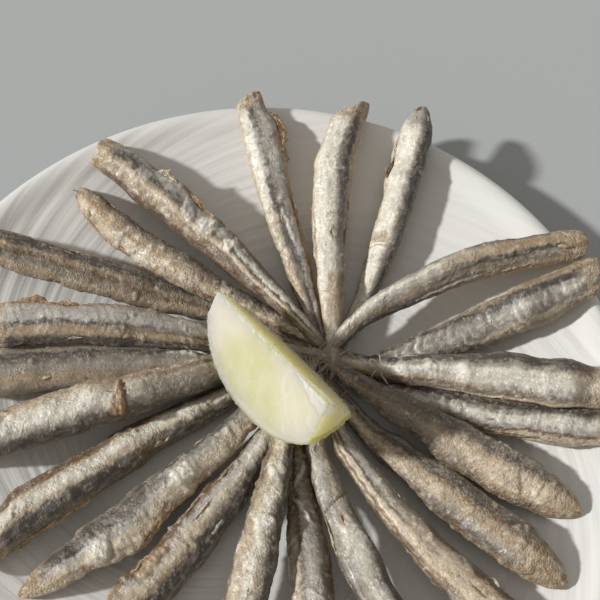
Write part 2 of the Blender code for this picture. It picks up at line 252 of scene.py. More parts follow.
class Mark(NamedTuple):
    """A single place on a fish: a blister, a crease, a break or a patch of another tone.

    along is its distance from the cut end and angle its place round the body. half_long and
    half_round are its half sizes, turned by turn degrees. rise is its height, and share is how
    strongly it takes its tone.
    """

    along: float
    angle: float
    half_long: float
    half_round: float
    turn: float
    rise: float
    tone: str
    share: float


MARKS = {
    "anchovy_01": (
        Mark(93, 80, 5.0, 3.0, 0, 0.1, "tan", 0.7),
        Mark(66, 92, 7.0, 0.7, 25, 0.5, "white", 0.6),
        Mark(78, 88, 6.0, 0.7, -25, 0.5, "white", 0.6),
    ),
    "anchovy_03": (
        Mark(19, 112, 7.0, 4.0, 0, 0.0, "smoke", 0.6),
        Mark(36, 166, 10.0, 2.0, 0, 0.3, "cream", 0.7),
    ),
    "anchovy_05": (
        Mark(59, 35, 6.0, 3.0, 0, 0.4, "brown", 0.7),
        Mark(78, 80, 5.0, 2.5, 0, 0.4, "white", 0.7),
    ),
    "anchovy_06": (
        Mark(77, 68, 6.0, 1.1, 6, 0.6, "white", 0.8),
        Mark(43, 135, 0.8, 0.8, 0, -0.1, "slate", 0.9),
        Mark(60, 110, 22.0, 3.5, 0, 0.0, "smoke", 0.4),
    ),
    "anchovy_07": (
        Mark(52, 75, 8.0, 3.5, 0, 0.4, "white", 0.8),
        Mark(66, 95, 0.6, 6.0, 20, -0.5, "slate", 0.6),
        Mark(80, 100, 4.0, 3.0, 0, 0.3, "white", 0.5),
    ),
    "anchovy_08": (
        Mark(59, 120, 2.6, 5.0, 0, -0.4, "tan", 0.8),
        Mark(62, 118, 0.5, 4.5, 0, -0.5, "brown", 0.7),
        Mark(6, 90, 8.0, 9.0, 0, 0.0, "smoke", 0.6),
    ),
    "anchovy_09": (
        Mark(28, 180, 17.0, 0.5, 0, -0.5, "brown", 0.9),
        Mark(54, 180, 1.5, 1.2, 0, 1.0, "cream", 0.9),
    ),
    "anchovy_10": (Mark(18, 118, 9.0, 1.6, 0, 0.9, "gold", 0.8),),
    "anchovy_11": (
        Mark(13, 145, 3.0, 2.0, 0, 0.3, "brown", 0.7),
        Mark(15, 108, 9.0, 5.0, 0, 0.2, "gold", 0.5),
    ),
    "anchovy_12": (
        Mark(60, 133, 38.0, 0.5, 0, -0.5, "brown", 0.8),
        Mark(28, 45, 5.0, 1.8, 0, 0.5, "ash", 0.7),
    ),
    "anchovy_13": (Mark(32, 172, 18.0, 2.0, 0, -0.2, "slate", 0.9),),
    "anchovy_14": (
        Mark(58, 84, 3.5, 3.0, 0, 1.1, "white", 0.85),
        Mark(76, 80, 3.0, 2.5, 0, 0.9, "white", 0.8),
        Mark(88, 96, 2.5, 2.2, 0, 0.4, "white", 0.5),
    ),
    "anchovy_15": (
        Mark(24, 122, 15.0, 3.0, 0, 0.2, "white", 0.6),
        Mark(56, 82, 8.0, 0.8, -5, 0.4, "white", 0.8),
    ),
    "anchovy_16": (
        Mark(50, 48, 2.6, 3.6, 10, 1.3, "rust", 0.8),
        Mark(52, 70, 1.2, 8.0, -8, 0.9, "rust", 0.8),
        Mark(53.4, 66, 0.7, 9.0, -6, -0.5, "brown", 0.8),
        Mark(36, 85, 13.0, 5.0, 0, 0.1, "white", 0.4),
        Mark(70, 58, 15.0, 5.0, 0, 0.0, "smoke", 0.7),
    ),
    "anchovy_17": (
        Mark(20, 122, 0.9, 5.0, 35, -0.5, "brown", 0.6),
        Mark(13, 105, 4.0, 4.5, 0, 0.8, "cream", 0.5),
        # Darker smoke patch over the flank where the lemon's shadow falls: painted shadow on top of the cast
        # one
        Mark(68, 120, 16.0, 6.0, 0, 0.0, "smoke", 0.6),
    ),
    "anchovy_18": (
        Mark(28, 115, 2.5, 4.5, 30, 0.9, "white", 0.8),
        Mark(65, 92, 3.5, 2.6, 0, 0.7, "white", 0.6),
        Mark(45, 150, 9.0, 2.4, 0, 0.9, "gold", 0.8),
        Mark(46, 154, 8.0, 0.7, 0, -1.6, "brown", 0.9),
        Mark(62, 98, 4.5, 3.6, 0, 0.7, "white", 0.6),
    ),
    "anchovy_19": (
        Mark(8, 100, 4.0, 9.0, 0, 0.0, "brown", 0.6),
        Mark(46, 108, 2.2, 4.0, 35, 0.7, "white", 0.3),
        Mark(57, 104, 2.2, 4.0, 30, 0.7, "white", 0.3),
        Mark(67, 104, 2.0, 3.5, 30, 0.5, "white", 0.25),
        Mark(35, 160, 28.0, 0.5, 0, -0.5, "brown", 0.7),
    ),
    "anchovy_20": (
        Mark(52, 80, 4.2, 3.2, 0, 1.2, "white", 0.7),
        Mark(43, 84, 4.0, 2.0, 25, 0.9, "silver", 0.7),
        Mark(64, 76, 2.8, 2.2, 0, 0.9, "white", 0.6),
        Mark(20, 80, 4.0, 2.5, 0, 0.5, "silver", 0.7),
    ),
    "anchovy_21": (
        Mark(57, 148, 13.0, 0.5, 0, -0.3, "brown", 0.8),
        Mark(84, 90, 8.0, 7.0, 0, 0.0, "tan", 0.7),
        Mark(74, 82, 6.0, 3.4, 0, 0.2, "gold", 0.55),
    ),
    "anchovy_22": (
        Mark(34, 128, 26.0, 1.2, 0, -0.4, "brown", 0.5),
        Mark(50, 168, 15.0, 0.6, 0, 0.5, "silver", 0.8),
    ),
}


# Noise

SHUFFLE = np.random.default_rng(11).permutation(256)
LEANINGS = np.random.default_rng(12).normal(size=(256, 3))
LEANINGS /= np.linalg.norm(LEANINGS, axis=1, keepdims=True)
SCATTER = np.random.default_rng(13).random((256, 3))


def cell_keys(cells, salt):
    """A repeatable number from 0 to 255 for each whole-numbered cell."""
    x, y, z = (cells.astype(int) % 256).T
    return SHUFFLE[(SHUFFLE[(SHUFFLE[(x + salt) % 256] + y) % 256] + z) % 256]


def noise(points, salt=0):
    """Gradient noise from about -1 to 1, one wave to a unit of length."""
    base = np.floor(points)
    part = points - base
    fade = part ** 3 * (part * (part * 6 - 15) + 10)
    total = np.zeros(len(points))
    for corner in itertools.product((0, 1), repeat=3):
        share = np.where(corner, fade, 1 - fade).prod(axis=1)
        lean = LEANINGS[cell_keys(base + corner, salt)]
        total += share * ((part - corner) * lean).sum(axis=1)
    return total * 1.6


def spots(points, salt=0):
    """Distance to the nearest and the second nearest of points strewn one to a cell, and a
    random number of the nearest one."""
    base = np.floor(points)
    near = np.full(len(points), 9.0)
    second = near.copy()
    chance = np.zeros(len(points))
    for step in itertools.product((-1, 0, 1), repeat=3):
        keys = cell_keys(base + step, salt)
        away = np.linalg.norm(base + step + SCATTER[keys] - points, axis=1)
        closer = away < near
        second = np.where(closer, near, np.minimum(second, away))
        chance = np.where(closer, SHUFFLE[keys] / 255, chance)
        near = np.where(closer, away, near)
    return near, second, chance


def step_between(low, high, values):
    """Smooth step from 0 at low to 1 at high, which may lie in either order."""
    share = np.clip((values - low) / (high - low), 0, 1)
    return share * share * (3 - 2 * share)


def mix(first, second, share):
    """Mix two colours or arrays of colours."""
    share = np.asarray(share)[..., None]
    return first * (1 - share) + second * share


def lighten(colours, share):
    """Lighten colours by a share of themselves at each point, or darken them if it is negative."""
    return colours * (1 + share)[:, None]


# Meshes

def merged_copy(node):
    """The solid of a node with its loose triangles joined."""
    bm = bmesh.new()
    bm.from_mesh(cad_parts[node].data)
    bmesh.ops.remove_doubles(bm, verts=bm.verts, dist=MERGE)
    bm.verts.index_update()
    return bm


def places_of(mesh):
    """The places of a mesh's points as an array."""
    flat = np.empty(len(mesh.vertices) * 3)
    mesh.vertices.foreach_get("co", flat)
    return flat.reshape(-1, 3)


def normals_of(mesh):
    """The normals of a mesh's points as an array."""
    flat = np.empty(len(mesh.vertices) * 3)
    mesh.vertices.foreach_get("normal", flat)
    return flat.reshape(-1, 3)


def move_points(mesh, places):
    """Put a mesh's points at new places."""
    mesh.vertices.foreach_set("co", np.ascontiguousarray(places, dtype=np.float32).ravel())
    mesh.update()


def write_colours(mesh, name, colours):
    """Keep one colour for each point of a mesh."""
    layer = mesh.attributes.new(name, "FLOAT_COLOR", "POINT")
    full = np.ones((len(colours), 4), dtype=np.float32)
    full[:, :3] = np.clip(colours, 0, 1)
    layer.data.foreach_set("color", full.ravel())


def write_numbers(mesh, name, numbers):
    """Keep one number for each point of a mesh."""
    layer = mesh.attributes.new(name, "FLOAT", "POINT")
    layer.data.foreach_set("value", np.ascontiguousarray(numbers, dtype=np.float32))


def write_vectors(mesh, name, vectors):
    """Keep one vector for each point of a mesh."""
    layer = mesh.attributes.new(name, "FLOAT_VECTOR", "POINT")
    layer.data.foreach_set("vector", np.ascontiguousarray(vectors, dtype=np.float32).ravel())


def link_object(name, data):
    """Put a new object into the scene."""
    item = bpy.data.objects.new(name, data)
    bpy.context.scene.collection.objects.link(item)
    return item


def new_piece(name, mesh, material):
    """Make a smooth piece of a mesh and let it ride on the frame."""
    mesh.name = name
    mesh.shade_smooth()
    mesh.materials.clear()
    mesh.materials.append(material)
    piece = link_object(name, mesh)
    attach(piece, BODY)
    return piece


def mesh_of(bm, name):
    """Turn a bmesh into a mesh with its faces pointing out."""
    if bm.calc_volume(signed=True) < 0:
        bmesh.ops.reverse_faces(bm, faces=bm.faces)
    mesh = bpy.data.meshes.new(name)
    bm.to_mesh(mesh)
    bm.free()
    return mesh


def curve_through(points, places):
    """Read a smooth curve through rows of points at fractional row numbers."""
    row = np.clip(np.floor(places).astype(int), 0, len(points) - 2)
    t = (places - row).reshape(-1, *[1] * (points.ndim - 1))
    before = points[np.maximum(row - 1, 0)]
    start = points[row]
    end = points[row + 1]
    after = points[np.minimum(row + 2, len(points) - 1)]
    bend = 2 * before - 5 * start + 4 * end - after
    return start + 0.5 * t * (end - before + t * (bend + t * (3 * (start - end) + after - before)))


@functools.cache
def loft_pattern(rows, columns):
    """The mesh of a sphere to draw a loft from, and the ring and the column of each point."""
    bm = bmesh.new()
    bmesh.ops.create_uvsphere(bm, u_segments=columns, v_segments=rows, radius=1.0)
    mesh = bpy.data.meshes.new(f"loft_{rows}_{columns}")
    bm.to_mesh(mesh)
    bm.free()
    places = places_of(mesh)
    row = np.rint(np.arccos(np.clip(places[:, 2], -1, 1)) / math.pi * rows).astype(int)
    column = np.rint(np.arctan2(places[:, 1], places[:, 0]) / math.tau * columns).astype(int) % columns
    return mesh, row, column


def add_loft(bm, grid):
    """Add a closed surface through rings of points, the first and last drawn together to a
    point each, and give the number in the grid of each new point."""
    columns = grid.shape[1]
    mesh, row, column = loft_pattern(len(grid) - 1, columns)
    move_points(mesh, grid[row, column])
    bm.from_mesh(mesh)
    return row * columns + column


# Fish forms

class FishForm(NamedTuple):
    """A fish's fine surface in its own axes: along it from the cut end, across it towards its
    back, and up. grid holds the points of its rings, middle the middle of each ring, and ring
    the number of each in the solid."""

    origin: np.ndarray
    axes: np.ndarray
    grid: np.ndarray
    middle: np.ndarray
    ring: np.ndarray


def walk_rings(bm):
    """The points of a fish's solid in rings, from its cut end to its fin."""
    poles = sorted(bm.verts, key=lambda v: (len(v.link_edges), v.index))[-2:]
    start = max(poles, key=lambda v: (v.co.xy - TAILS_MEET).length)
    seen = {start}
    ring = [start]
    rings = []
    while ring:
        rings.append(np.array([v.co for v in ring], float))
        beyond = {e.other_vert(v) for v in ring for e in v.link_edges} - seen
        seen |= beyond
        ring = sorted(beyond, key=lambda v: v.index)
    return rings


def ring_angles(points, middle, half):
    """Angles of points round a flattened ring, from the back over the top."""
    return np.arctan2((points[:, 2] - middle[2]) / half[2], (points[:, 1] - middle[1]) / half[1])


def even_ring(points, angles):
    """Read a ring of a few points at many even angles."""
    middle = (points.max(axis=0) + points.min(axis=0)) / 2
    half = np.maximum((points.max(axis=0) - points.min(axis=0)) / 2, MERGE)
    points = points[np.argsort(ring_angles(points, middle, half))]
    closed = np.concatenate([points[-1:], points, points[:2]])
    fine = curve_through(closed, 1 + np.arange(len(points) * RING_STEPS) / RING_STEPS)
    found = ring_angles(fine, middle, half)
    return np.stack([np.interp(angles, found, fine[:, i], period=math.tau) for i in range(3)], axis=1)


@functools.cache
def read_fish(node, back):
    """Read a fish's fine surface from its solid."""
    bm = merged_copy(node)
    rings = walk_rings(bm)
    bm.free()
    origin = rings[0][0] * (1, 1, 0)
    run = (rings[-1][0] - rings[0][0]) * (1, 1, 0)
    run /= np.linalg.norm(run)
    side = np.array((run[1], -run[0], 0)) * (1 if back == "left" else -1)
    axes = np.stack([run, side, (0, 0, 1)])
    angles = np.arange(ROUND_POINTS) / ROUND_POINTS * math.tau
    coarse = []
    for ring in rings:
        local = (ring - origin) @ axes.T
        if len(local) == 1:
            coarse.append(np.repeat(local, ROUND_POINTS, axis=0))
        else:
            coarse.append(even_ring(local, angles))
    coarse = np.stack(coarse)
    steps = np.linalg.norm(np.diff(coarse, axis=0), axis=2).mean(axis=1)
    reach = np.concatenate([[0], np.cumsum(steps)])
    places = np.linspace(0, reach[-1], LONG_POINTS + 1)
    ring = np.interp(places, reach, np.arange(len(coarse)))
    grid = curve_through(coarse, ring)
    if node in BLUNT:
        blunt_tip(grid, BLUNT[node])
    middle = (grid.max(axis=1) + grid.min(axis=1))[:, None, 2] / 2
    sag = step_between(*SAG_COMES, ring) * step_between(*SAG_GOES, ring) * SAGS.get(node, 0)
    grid[..., 2] += np.minimum(grid[..., 2] - middle, 0) * sag[:, None]
    cross = (np.array((*TAILS_CROSS, 0)) - origin) @ axes.T
    cross[0] -= TAIL_UNDER if run[1] > FROM_FRONT else 0
    ring = draw_tail(grid, ring, cross, int(node[-2:]))
    middle = (grid.max(axis=1) + grid.min(axis=1)) / 2
    return FishForm(origin, axes, grid, middle, ring)


def blunt_tip(grid, length):
    """Round off the pointed cut end of a grid of rings, which reaches that far along it."""
    middle = (grid.max(axis=1) + grid.min(axis=1)) / 2
    along = middle[:, 0] - middle[0, 0]
    last = int(np.argmax(along > length))
    share = along[:last] / along[last]
    full = (1 - (1 - share) ** TIP_FULL) ** TIP_ROUND
    grid[:last] = middle[:last, None] + (grid[last] - middle[last]) * full[:, None, None] * (0, 1, 1)


def draw_tail(grid, ring, cross, seed):
    """Draw the flat tail of a grid of rings out into a narrow dried one that runs on to where
    the tails cross, and give the new numbers of the rings."""
    chance = np.random.default_rng(seed)
    row = int(np.argmin(np.abs(ring - TAIL_RING)))
    middle = (grid[row].max(axis=0) + grid[row].min(axis=0)) / 2
    slope = (middle - grid[row - TAIL_ROWS].mean(axis=0)) / TAIL_ROWS
    half = (grid[row].max(axis=0) - grid[row].min(axis=0)) / 2
    share = np.linspace(0, 1, len(grid) - row)[:, None]
    end = cross + np.array((chance.uniform(*TAIL_PAST), chance.normal() * TAIL_ASIDE, 0)) * MM
    run = max(np.linalg.norm(end - middle), TAIL_RUN)
    lead = slope / np.linalg.norm(slope) * run
    end = middle + TAIL_STRAIGHT * lead + (1 - TAIL_STRAIGHT) * (end - middle)
    end[2] = np.clip(middle[2] + chance.uniform(*TAIL_SINK) * MM, *TAIL_HEIGHTS)
    line = middle + share * (1 - share) ** 2 * lead + share ** 2 * (3 - 2 * share) * (end - middle)
    line += share ** 2 * (share - 1) * lead * 0.4
    wide = half[1] * (1 - share) + TAIL_WIDE * MM * share
    wide *= 1 + TAIL_FLARE * step_between(0.72, 1.0, share)
    thick = half[2] * (1 - share) + TAIL_THICK * MM * share
    thick *= 1 - 0.65 * step_between(0.7, 1.0, share)
    shape = (grid[row] - grid[row].mean(axis=0)) / np.maximum(half, MERGE)
    across = shape[:, 1] * wide
    grid[row:] = line[:, None] + np.stack([0 * across, across, shape[:, 2] * thick], axis=2)
    grid[-1] = grid[-1].mean(axis=0)
    return np.concatenate([ring[:row], TAIL_RING + share[:, 0] * (LAST_RING - TAIL_RING)])


def grid_normals(grid):
    """Outward directions of a closed grid of rings."""
    around = np.roll(grid, -1, axis=1) - np.roll(grid, 1, axis=1)
    along = np.gradient(grid, axis=0)
    normals = np.cross(around, along)
    normals[0] = normals[1].mean(axis=0)
    normals[-1] = normals[-2].mean(axis=0)
    length = np.linalg.norm(normals, axis=2, keepdims=True)
    normals = normals / np.maximum(length, 1e-12)
    outward = grid - (grid.max(axis=1) + grid.min(axis=1))[:, None] / 2
    body = slice(len(grid) // 3, len(grid) // 2)
    return normals if (normals[body] * outward[body]).sum() > 0 else -normals


class Skin(NamedTuple):
    """What the relief and the colours of a fish are worked out from, one row a point: its
    place in millimetres with the fish drawn straight, the way round from the back in degrees,
    the ring that it lies in and the share of the tail fin that lies before it."""

    straight: np.ndarray
    angle: np.ndarray
    ring: np.ndarray
    fin: np.ndarray


def skin_of(form):
    """Unroll a fish's form."""
    straight = form.grid - form.middle[:, None] * (0, 1, 1)
    angle = np.broadcast_to(np.arange(ROUND_POINTS) / ROUND_POINTS * 360, form.grid.shape[:2])
    ring = np.broadcast_to(form.ring[:, None], angle.shape)
    fin = np.clip((ring - FIN_RING) / (LAST_RING - 1 - FIN_RING), 0, 1)
    return Skin(straight.reshape(-1, 3) / MM, angle.ravel(), ring.ravel(), fin.ravel())


def turn_from(angle, place):
    """Degrees round the body between each point and a place, from -180 to 180."""
    return (angle - place + 180) % 360 - 180


def mark_shares(mark, skin):
    """How far each point lies in a mark, from 0 outside it to 1."""
    q = skin.straight
    radius = np.linalg.norm(q[:, 1:], axis=1)
    long = q[:, 0] - mark.along + 1.1 * noise(q / 3.5, 72)
    across = np.radians(turn_from(skin.angle, mark.angle)) * radius + 0.8 * noise(q / 3.5, 73)
    turn = math.radians(mark.turn)
    first = (long * math.cos(turn) + across * math.sin(turn)) / mark.half_long
    second = (across * math.cos(turn) - long * math.sin(turn)) / mark.half_round
    return step_between(1.2, 0.45, np.hypot(first, second) + noise(q / 1.8, 71) * 0.3)


def relief_of(node, look, skin, salt):
    """Height of the skin and crust over the solid at each point, in millimetres, and masks
    for the colours."""
    q = skin.straight
    wander = np.stack([noise(q / 4.0, salt + i) for i in (1, 2, 3)], axis=1)
    around = np.radians(skin.angle)
    flank = step_between(-0.25, 0.5, np.cos(around - math.radians(115)))
    body = step_between(0.35, 0.0, skin.fin) * step_between(RIM_RING - 0.6, RIM_RING + 0.8, skin.ring)
    patch = step_between(-0.3, 0.4, noise(q / 9, salt + 4))

    bow = np.clip((skin.angle - 105) / 45, -1.5, 1.5) ** 2
    phase = q[:, 0] / look.pitch + wander[:, 0] * 0.5 + 0.5 * bow
    size = SHUFFLE[(phase.astype(int) + salt) % 256] / 255
    crest = step_between(0.1, 0.8, phase % 1) * step_between(1.0, 0.86, phase % 1) * (0.35 + 0.65 * size)
    crest = crest * (0.15 + 0.85 * patch) * flank
    folds = 1.3 * look.folds * (crest - 0.2)

    near, _, chance = spots(q / 3.4 + wander * 0.25, salt + 7)
    blister = np.sqrt(np.clip(1 - (near / 0.55) ** 2, 0, 1)) * (chance > 0.5)
    blister *= (0.35 + 0.65 * flank) * (0.5 + chance * 0.5)

    floury = noise(q / 5.0, salt + 8) * 0.65 + noise(q / 1.7, salt + 9) * 0.35
    flour = step_between(-0.12, 0.12, floury + look.crust - 0.55)
    near, second, plates = spots(q / (1.9, 1.5, 1.5) + wander * 0.4, salt + 10)
    nub = step_between(0.55, 0.1, near) * (plates > 0.5) * flour
    plated = 0.24 * plates - 0.12 * step_between(0.16, 0.0, second - near)
    grain = noise(q / 0.8, salt + 12)
    flecks = noise(q / (3.2, 0.9, 0.9), salt + 15)
    swell = 0.85 * noise(q / 11.0, salt + 13) + 0.22 * noise(q / (6.0, 3.6, 3.6), salt + 14)
    near, _, chance = spots(q / 1.5 + wander * 0.3, salt + 33)
    grains = np.clip(1 - (near / 0.62) ** 2, 0, 1) * (0.3 + 0.7 * chance)
    near, _, chance = spots(q / 3.3 + wander * 0.3, salt + 35)
    knobs = np.sqrt(np.clip(1 - (near / 0.40) ** 2, 0, 1)) * (chance > 0.75)
    knobs = knobs * step_between(0.0, 0.3, noise(q / 9, salt + 36) + look.crust - 0.4)
    fibres = noise(q / (5.0, 0.7, 0.7) + wander * 0.2, salt + 34)

    height = swell + folds + look.blisters * blister
    height = height + flour * (0.06 + 0.6 * plated + 0.20 * grains) + 0.5 * knobs
    height += grain * (0.035 + 0.06 * flour) + 0.05 * flecks + 0.04 * fibres
    height = height * body + 0.16
    rays = 0.12 * np.cos(skin.angle / 360 * math.tau * 7) + 0.25 * noise(q / 1.6, salt + 17)
    height = height * (1 - skin.fin) + rays * skin.fin
    return height, {"flour": flour, "blister": blister, "nub": nub, "wander": wander, "crest": crest,
                    "flecks": flecks, "grain": grain, "flank": flank, "fibres": fibres, "plates": plates,
                    "grains": grains, "knobs": knobs}


def band_colours(bands, angle, tones):
    """Tones round the body."""
    stops = []
    for band in bands.split(", "):
        tone, *angles = band.split()
        stops += [(float(a), tone) for a in angles]
    places = np.unwrap([a for a, _ in stops], period=360)
    colours = np.array([tones[tone] for _, tone in stops] + [tones[stops[0][1]]])
    row = np.interp((angle - places[0]) % 360, [*(places - places[0]), 360], np.arange(len(colours)))
    low = np.minimum(row.astype(int), len(stops) - 1)
    return mix(colours[low], colours[low + 1], step_between(0.15, 0.85, row - low))


def skin_colours(look, skin, masks, tones, salt):
    """Colour of each point, with painted highlights on the fold crests, blisters and pale specks and painted
    shade in the fold troughs, and how dry it is.
    """
    q = skin.straight
    drift = noise(q * (1 / 24, 0, 0) + 0.5, salt + 18) * 10 + noise(q * (1 / 9, 0, 0) + 0.5, salt + 19) * 6
    rough = drift + masks["wander"][:, 1] * 6 + noise(q / 1.6, salt + 20) * 7 + masks["grain"] * 5
    far = step_between(0.22, 0.70, q[:, 0] / q[:, 0].max() + 0.08 * masks["wander"][:, 2])
    colour = mix(band_colours(look.bands, skin.angle + rough, tones),
                 band_colours(look.tail_bands, skin.angle + rough, tones), far)
    bright = colour.mean(axis=1)
    flour = masks["flour"]
    crust = mix(tones["cream"], tones["tan"], step_between(-0.3, 0.4, noise(q / 2.3, salt + 23)))
    hidden = 0.08 + 0.8 * bright * (1 - bright)
    colour = mix(colour, crust, flour * hidden * step_between(0.95, 0.45, bright))
    colour = lighten(colour, 0.14 * (masks["plates"] - 0.5) * flour)
    colour = lighten(colour, 0.25 * (masks["grains"] - 0.3) * flour)
    colour = mix(colour, tones["cream"], 0.5 * masks["knobs"])
    golden = step_between(0.0, 0.5, noise(q / 4, salt + 24))
    colour = mix(colour, tones["gold"], 0.35 * masks["nub"] * golden)
    colour = lighten(colour, (0.15 * masks["flecks"] + 0.12 * masks["fibres"]) * (1 - 0.6 * flour))
    streak = step_between(0.05, 0.4, noise(q / (4.5, 1.2, 1.2), salt + 28)) * step_between(0.2, 0.1, bright)
    colour = mix(colour, mix(tones["smoke"], tones["silver"], 0.4), 0.55 * streak)
    colour = lighten(colour, 0.15 * noise(q / 5, salt + 29))
    # Painted highlight: white laid on the crests of the folds and on the blisters, where the key light would
    # catch them
    painted_highlight = np.clip(0.9 * masks["crest"] ** 1.5 * step_between(0.05, 0.3, look.folds), 0, 1)
    painted_highlight = np.maximum(painted_highlight, masks["blister"] * step_between(0.05, 0.35, look.blisters))
    colour = mix(colour, tones["white"], 0.65 * painted_highlight * step_between(0.08, 0.3, bright))
    # Painted shade: the troughs between the folds on the flank are darkened
    painted_trough_shade = (1 - masks["crest"]) * masks["flank"] * step_between(0.1, 0.4, look.folds)
    colour = lighten(colour, -0.22 * painted_trough_shade)
    near, _, chance = spots(q / 0.9, salt + 25)
    speck = step_between(0.5, 0.2, near) * (chance > 0.7)
    colour = lighten(colour, -0.25 * speck)
    # Pale specks: small painted glints, which also stand in part for pale crumbs
    pale = step_between(0.45, 0.15, near) * (chance < 0.22)
    colour = mix(colour, tones["white"], 0.5 * pale)
    end = step_between(look.gold + 2.5, look.gold * 0.5, q[:, 0] + rough * 0.12)
    ends = mix(tones["gold"], tones["cream"], step_between(-0.3, 0.4, noise(q / 2.2, salt + 26)))
    colour = mix(colour, ends, 0.7 * end)
    inside = step_between(RIM_RING + 0.1, RIM_RING - 0.7, skin.ring) * (look.gold < 11)
    flesh = mix(tones["tan"], tones["brown"], step_between(-0.4, 0.4, noise(q / 1.5, salt + 38)))
    colour = mix(colour, flesh, 0.6 * inside)
    fin_tone = mix(tones["fin"], tones["ash"], step_between(-0.3, 0.3, noise(q / (4, 0.6, 0.6), salt + 27)))
    colour = mix(colour, fin_tone, 0.8 * step_between(0.0, 0.5, skin.fin))
    return colour * SKIN_TINT, np.clip(0.85 * flour + end + skin.fin, 0, 1)


def ragged_ends(skin, salt, blunt):
    """How far each point moves along the fish, in millimetres, to make its ends uneven."""
    q = skin.straight
    around = np.stack([np.cos(np.radians(skin.angle)), np.sin(np.radians(skin.angle)),
                       np.zeros(len(q))], axis=1)
    edge = noise(around * 1.3, salt + 30) * 2.4 + noise(around * 4.0, salt + 31) * 0.8
    shift = edge * np.exp(-(q[:, 0] / 4) ** 2)
    across = q[:, 1]
    tips = noise(np.stack([across * 0.9, across * 0, across * 0 + salt], axis=1), salt + 32) * 2.2
    return 0.3 * shift if blunt else shift + 0.6 * tips * skin.fin ** 2


def make_fish(node, look, material, tones):
    """Replace a fish's solid by its crusted and fried surface."""
    salt = int(node[-2:]) * 7
    form = read_fish(node, look.back)
    skin = skin_of(form)
    height, masks = relief_of(node, look, skin, salt)
    colours, dry = skin_colours(look, skin, masks, tones, salt)
    for mark in MARKS.get(node, ()):
        share = mark_shares(mark, skin)
        height += mark.rise * share * (1 + 0.5 * noise(skin.straight / 1.4, salt + 37))
        colours = mix(colours, tones[mark.tone], share * mark.share)
    shift = ragged_ends(skin, salt, node in BLUNT)
    grid = form.grid + grid_normals(form.grid) * height.reshape(form.grid.shape[:2])[..., None] * MM
    grid[..., 0] += shift.reshape(grid.shape[:2]) * MM
    grid[0] = grid[0].mean(axis=0)
    grid[-1] = grid[-1].mean(axis=0)
    world = grid @ form.axes + form.origin

    bm = bmesh.new()
    index = add_loft(bm, world)
    mesh = mesh_of(bm, node)
    write_colours(mesh, "skin", colours[index])
    write_numbers(mesh, "dry", dry[index])
    piece = new_piece(f"{node}_fried", mesh, material)
    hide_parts(node)
    return piece


# Edges of batter and shreds

class Fringe(NamedTuple):
    """A ragged edge of batter that stands off a fish: where it starts and ends along the fish
    and its place round it, how far it reaches, and how far it leans round the body in degrees.
    """

    start: float
    end: float
    angle: float
    reach: float
    lean: float
    tone: str


FRINGES = {
    "anchovy_15": (
        Fringe(7, 30, 24, 5.0, -30, "gold"),
        Fringe(30, 84, 26, 1.3, -20, "tan"),
    ),
    "anchovy_20": (
        Fringe(22, 31, 44, 5.0, -30, "cream"),
        Fringe(31, 66, 44, 2.6, -30, "gold"),
    ),
    "anchovy_13": (Fringe(3, 32, 42, 4.2, -45, "rust"),),
    "anchovy_05": (Fringe(8, 36, 8, 3.2, -40, "gold"),),
    "anchovy_18": (
        Fringe(34, 56, 152, 2.2, 35, "gold"),
        Fringe(6, 34, 158, 1.2, 20, "tan"),
    ),
    "anchovy_10": (
        Fringe(3, 20, 132, 3.0, 40, "gold"),
        Fringe(24, 70, 142, 1.0, 20, "tan"),
    ),
    "anchovy_22": (
        Fringe(10, 62, 172, 1.3, 20, "tan"),
        Fringe(2, 8, 110, 2.2, 10, "gold"),
    ),
    "anchovy_19": (Fringe(5, 46, 172, 1.1, 20, "cream"),),
    "anchovy_03": (
        Fringe(3, 12, 96, 1.6, 10, "cream"),
        Fringe(4, 60, 38, 0.9, -20, "tan"),
    ),
    "anchovy_09": (Fringe(4, 60, 188, 0.9, 20, "brown"),),
    "anchovy_12": (
        Fringe(4, 44, 158, 1.4, 30, "tan"),
        Fringe(16, 21, 30, 3.0, -30, "silver"),
    ),
    "anchovy_14": (Fringe(4, 40, 165, 1.6, 30, "cream"),),
    "anchovy_11": (Fringe(4, 50, 176, 1.2, 20, "gold"),),
    "anchovy_04": (
        Fringe(2, 24, 40, 1.1, -20, "gold"),
        Fringe(12, 66, 160, 0.9, 20, "brown"),
    ),
    "anchovy_17": (Fringe(10, 66, 180, 0.9, 20, "brown"),),
    "anchovy_02": (
        Fringe(6, 60, 168, 1.0, 20, "brown"),
        Fringe(20, 50, 36, 0.9, -20, "tan"),
    ),
    "anchovy_06": (Fringe(69, 85, 62, 1.7, 15, "white"),),
    "anchovy_01": (
        Fringe(20, 80, 24, 1.3, -20, "brown"),
        Fringe(10, 70, 166, 1.0, 20, "cream"),
    ),
    "anchovy_07": (
        Fringe(10, 76, 160, 1.1, 20, "cream"),
        Fringe(84, 90, 100, 1.6, 0, "cream"),
    ),
    "anchovy_21": (Fringe(28, 62, 20, 0.9, -20, "brown"),),
    "anchovy_08": (
        Fringe(27, 35, 176, 2.8, 30, "brown"),
        Fringe(14, 25, 174, 1.4, 20, "cream"),
    ),
    "anchovy_16": (
        Fringe(46, 56, 90, 1.6, 10, "gold"),
        Fringe(8, 44, 150, 1.3, 25, "cream"),
    ),
}

# Ragged edges: steps along them and points across, and how thick they are at base and tip
FRINGE_STEP = 0.35
FRINGE_POINTS = 7
FRINGE_BASE = 1.6
FRINGE_TIP = 0.45
SMALL_FRINGE_TONES = ("tan", "gold", "cream", "silver")

# Broken rays at the tails, fans of rays at the ends of the tails, and single shreds
RAYS = 52
RAY_RINGS = (16.5, 19.5)
RAY_LENGTHS = (3, 10)
RAY_STEPS = 12
RAY_POINTS = 6
FAN_RING = 18.8
FAN_RAYS = 9
FAN_ANGLE = math.radians(30)
FAN_REACH = (7.0, 12.0)
CURL = (0.0408, 0.0169, 0.0195)

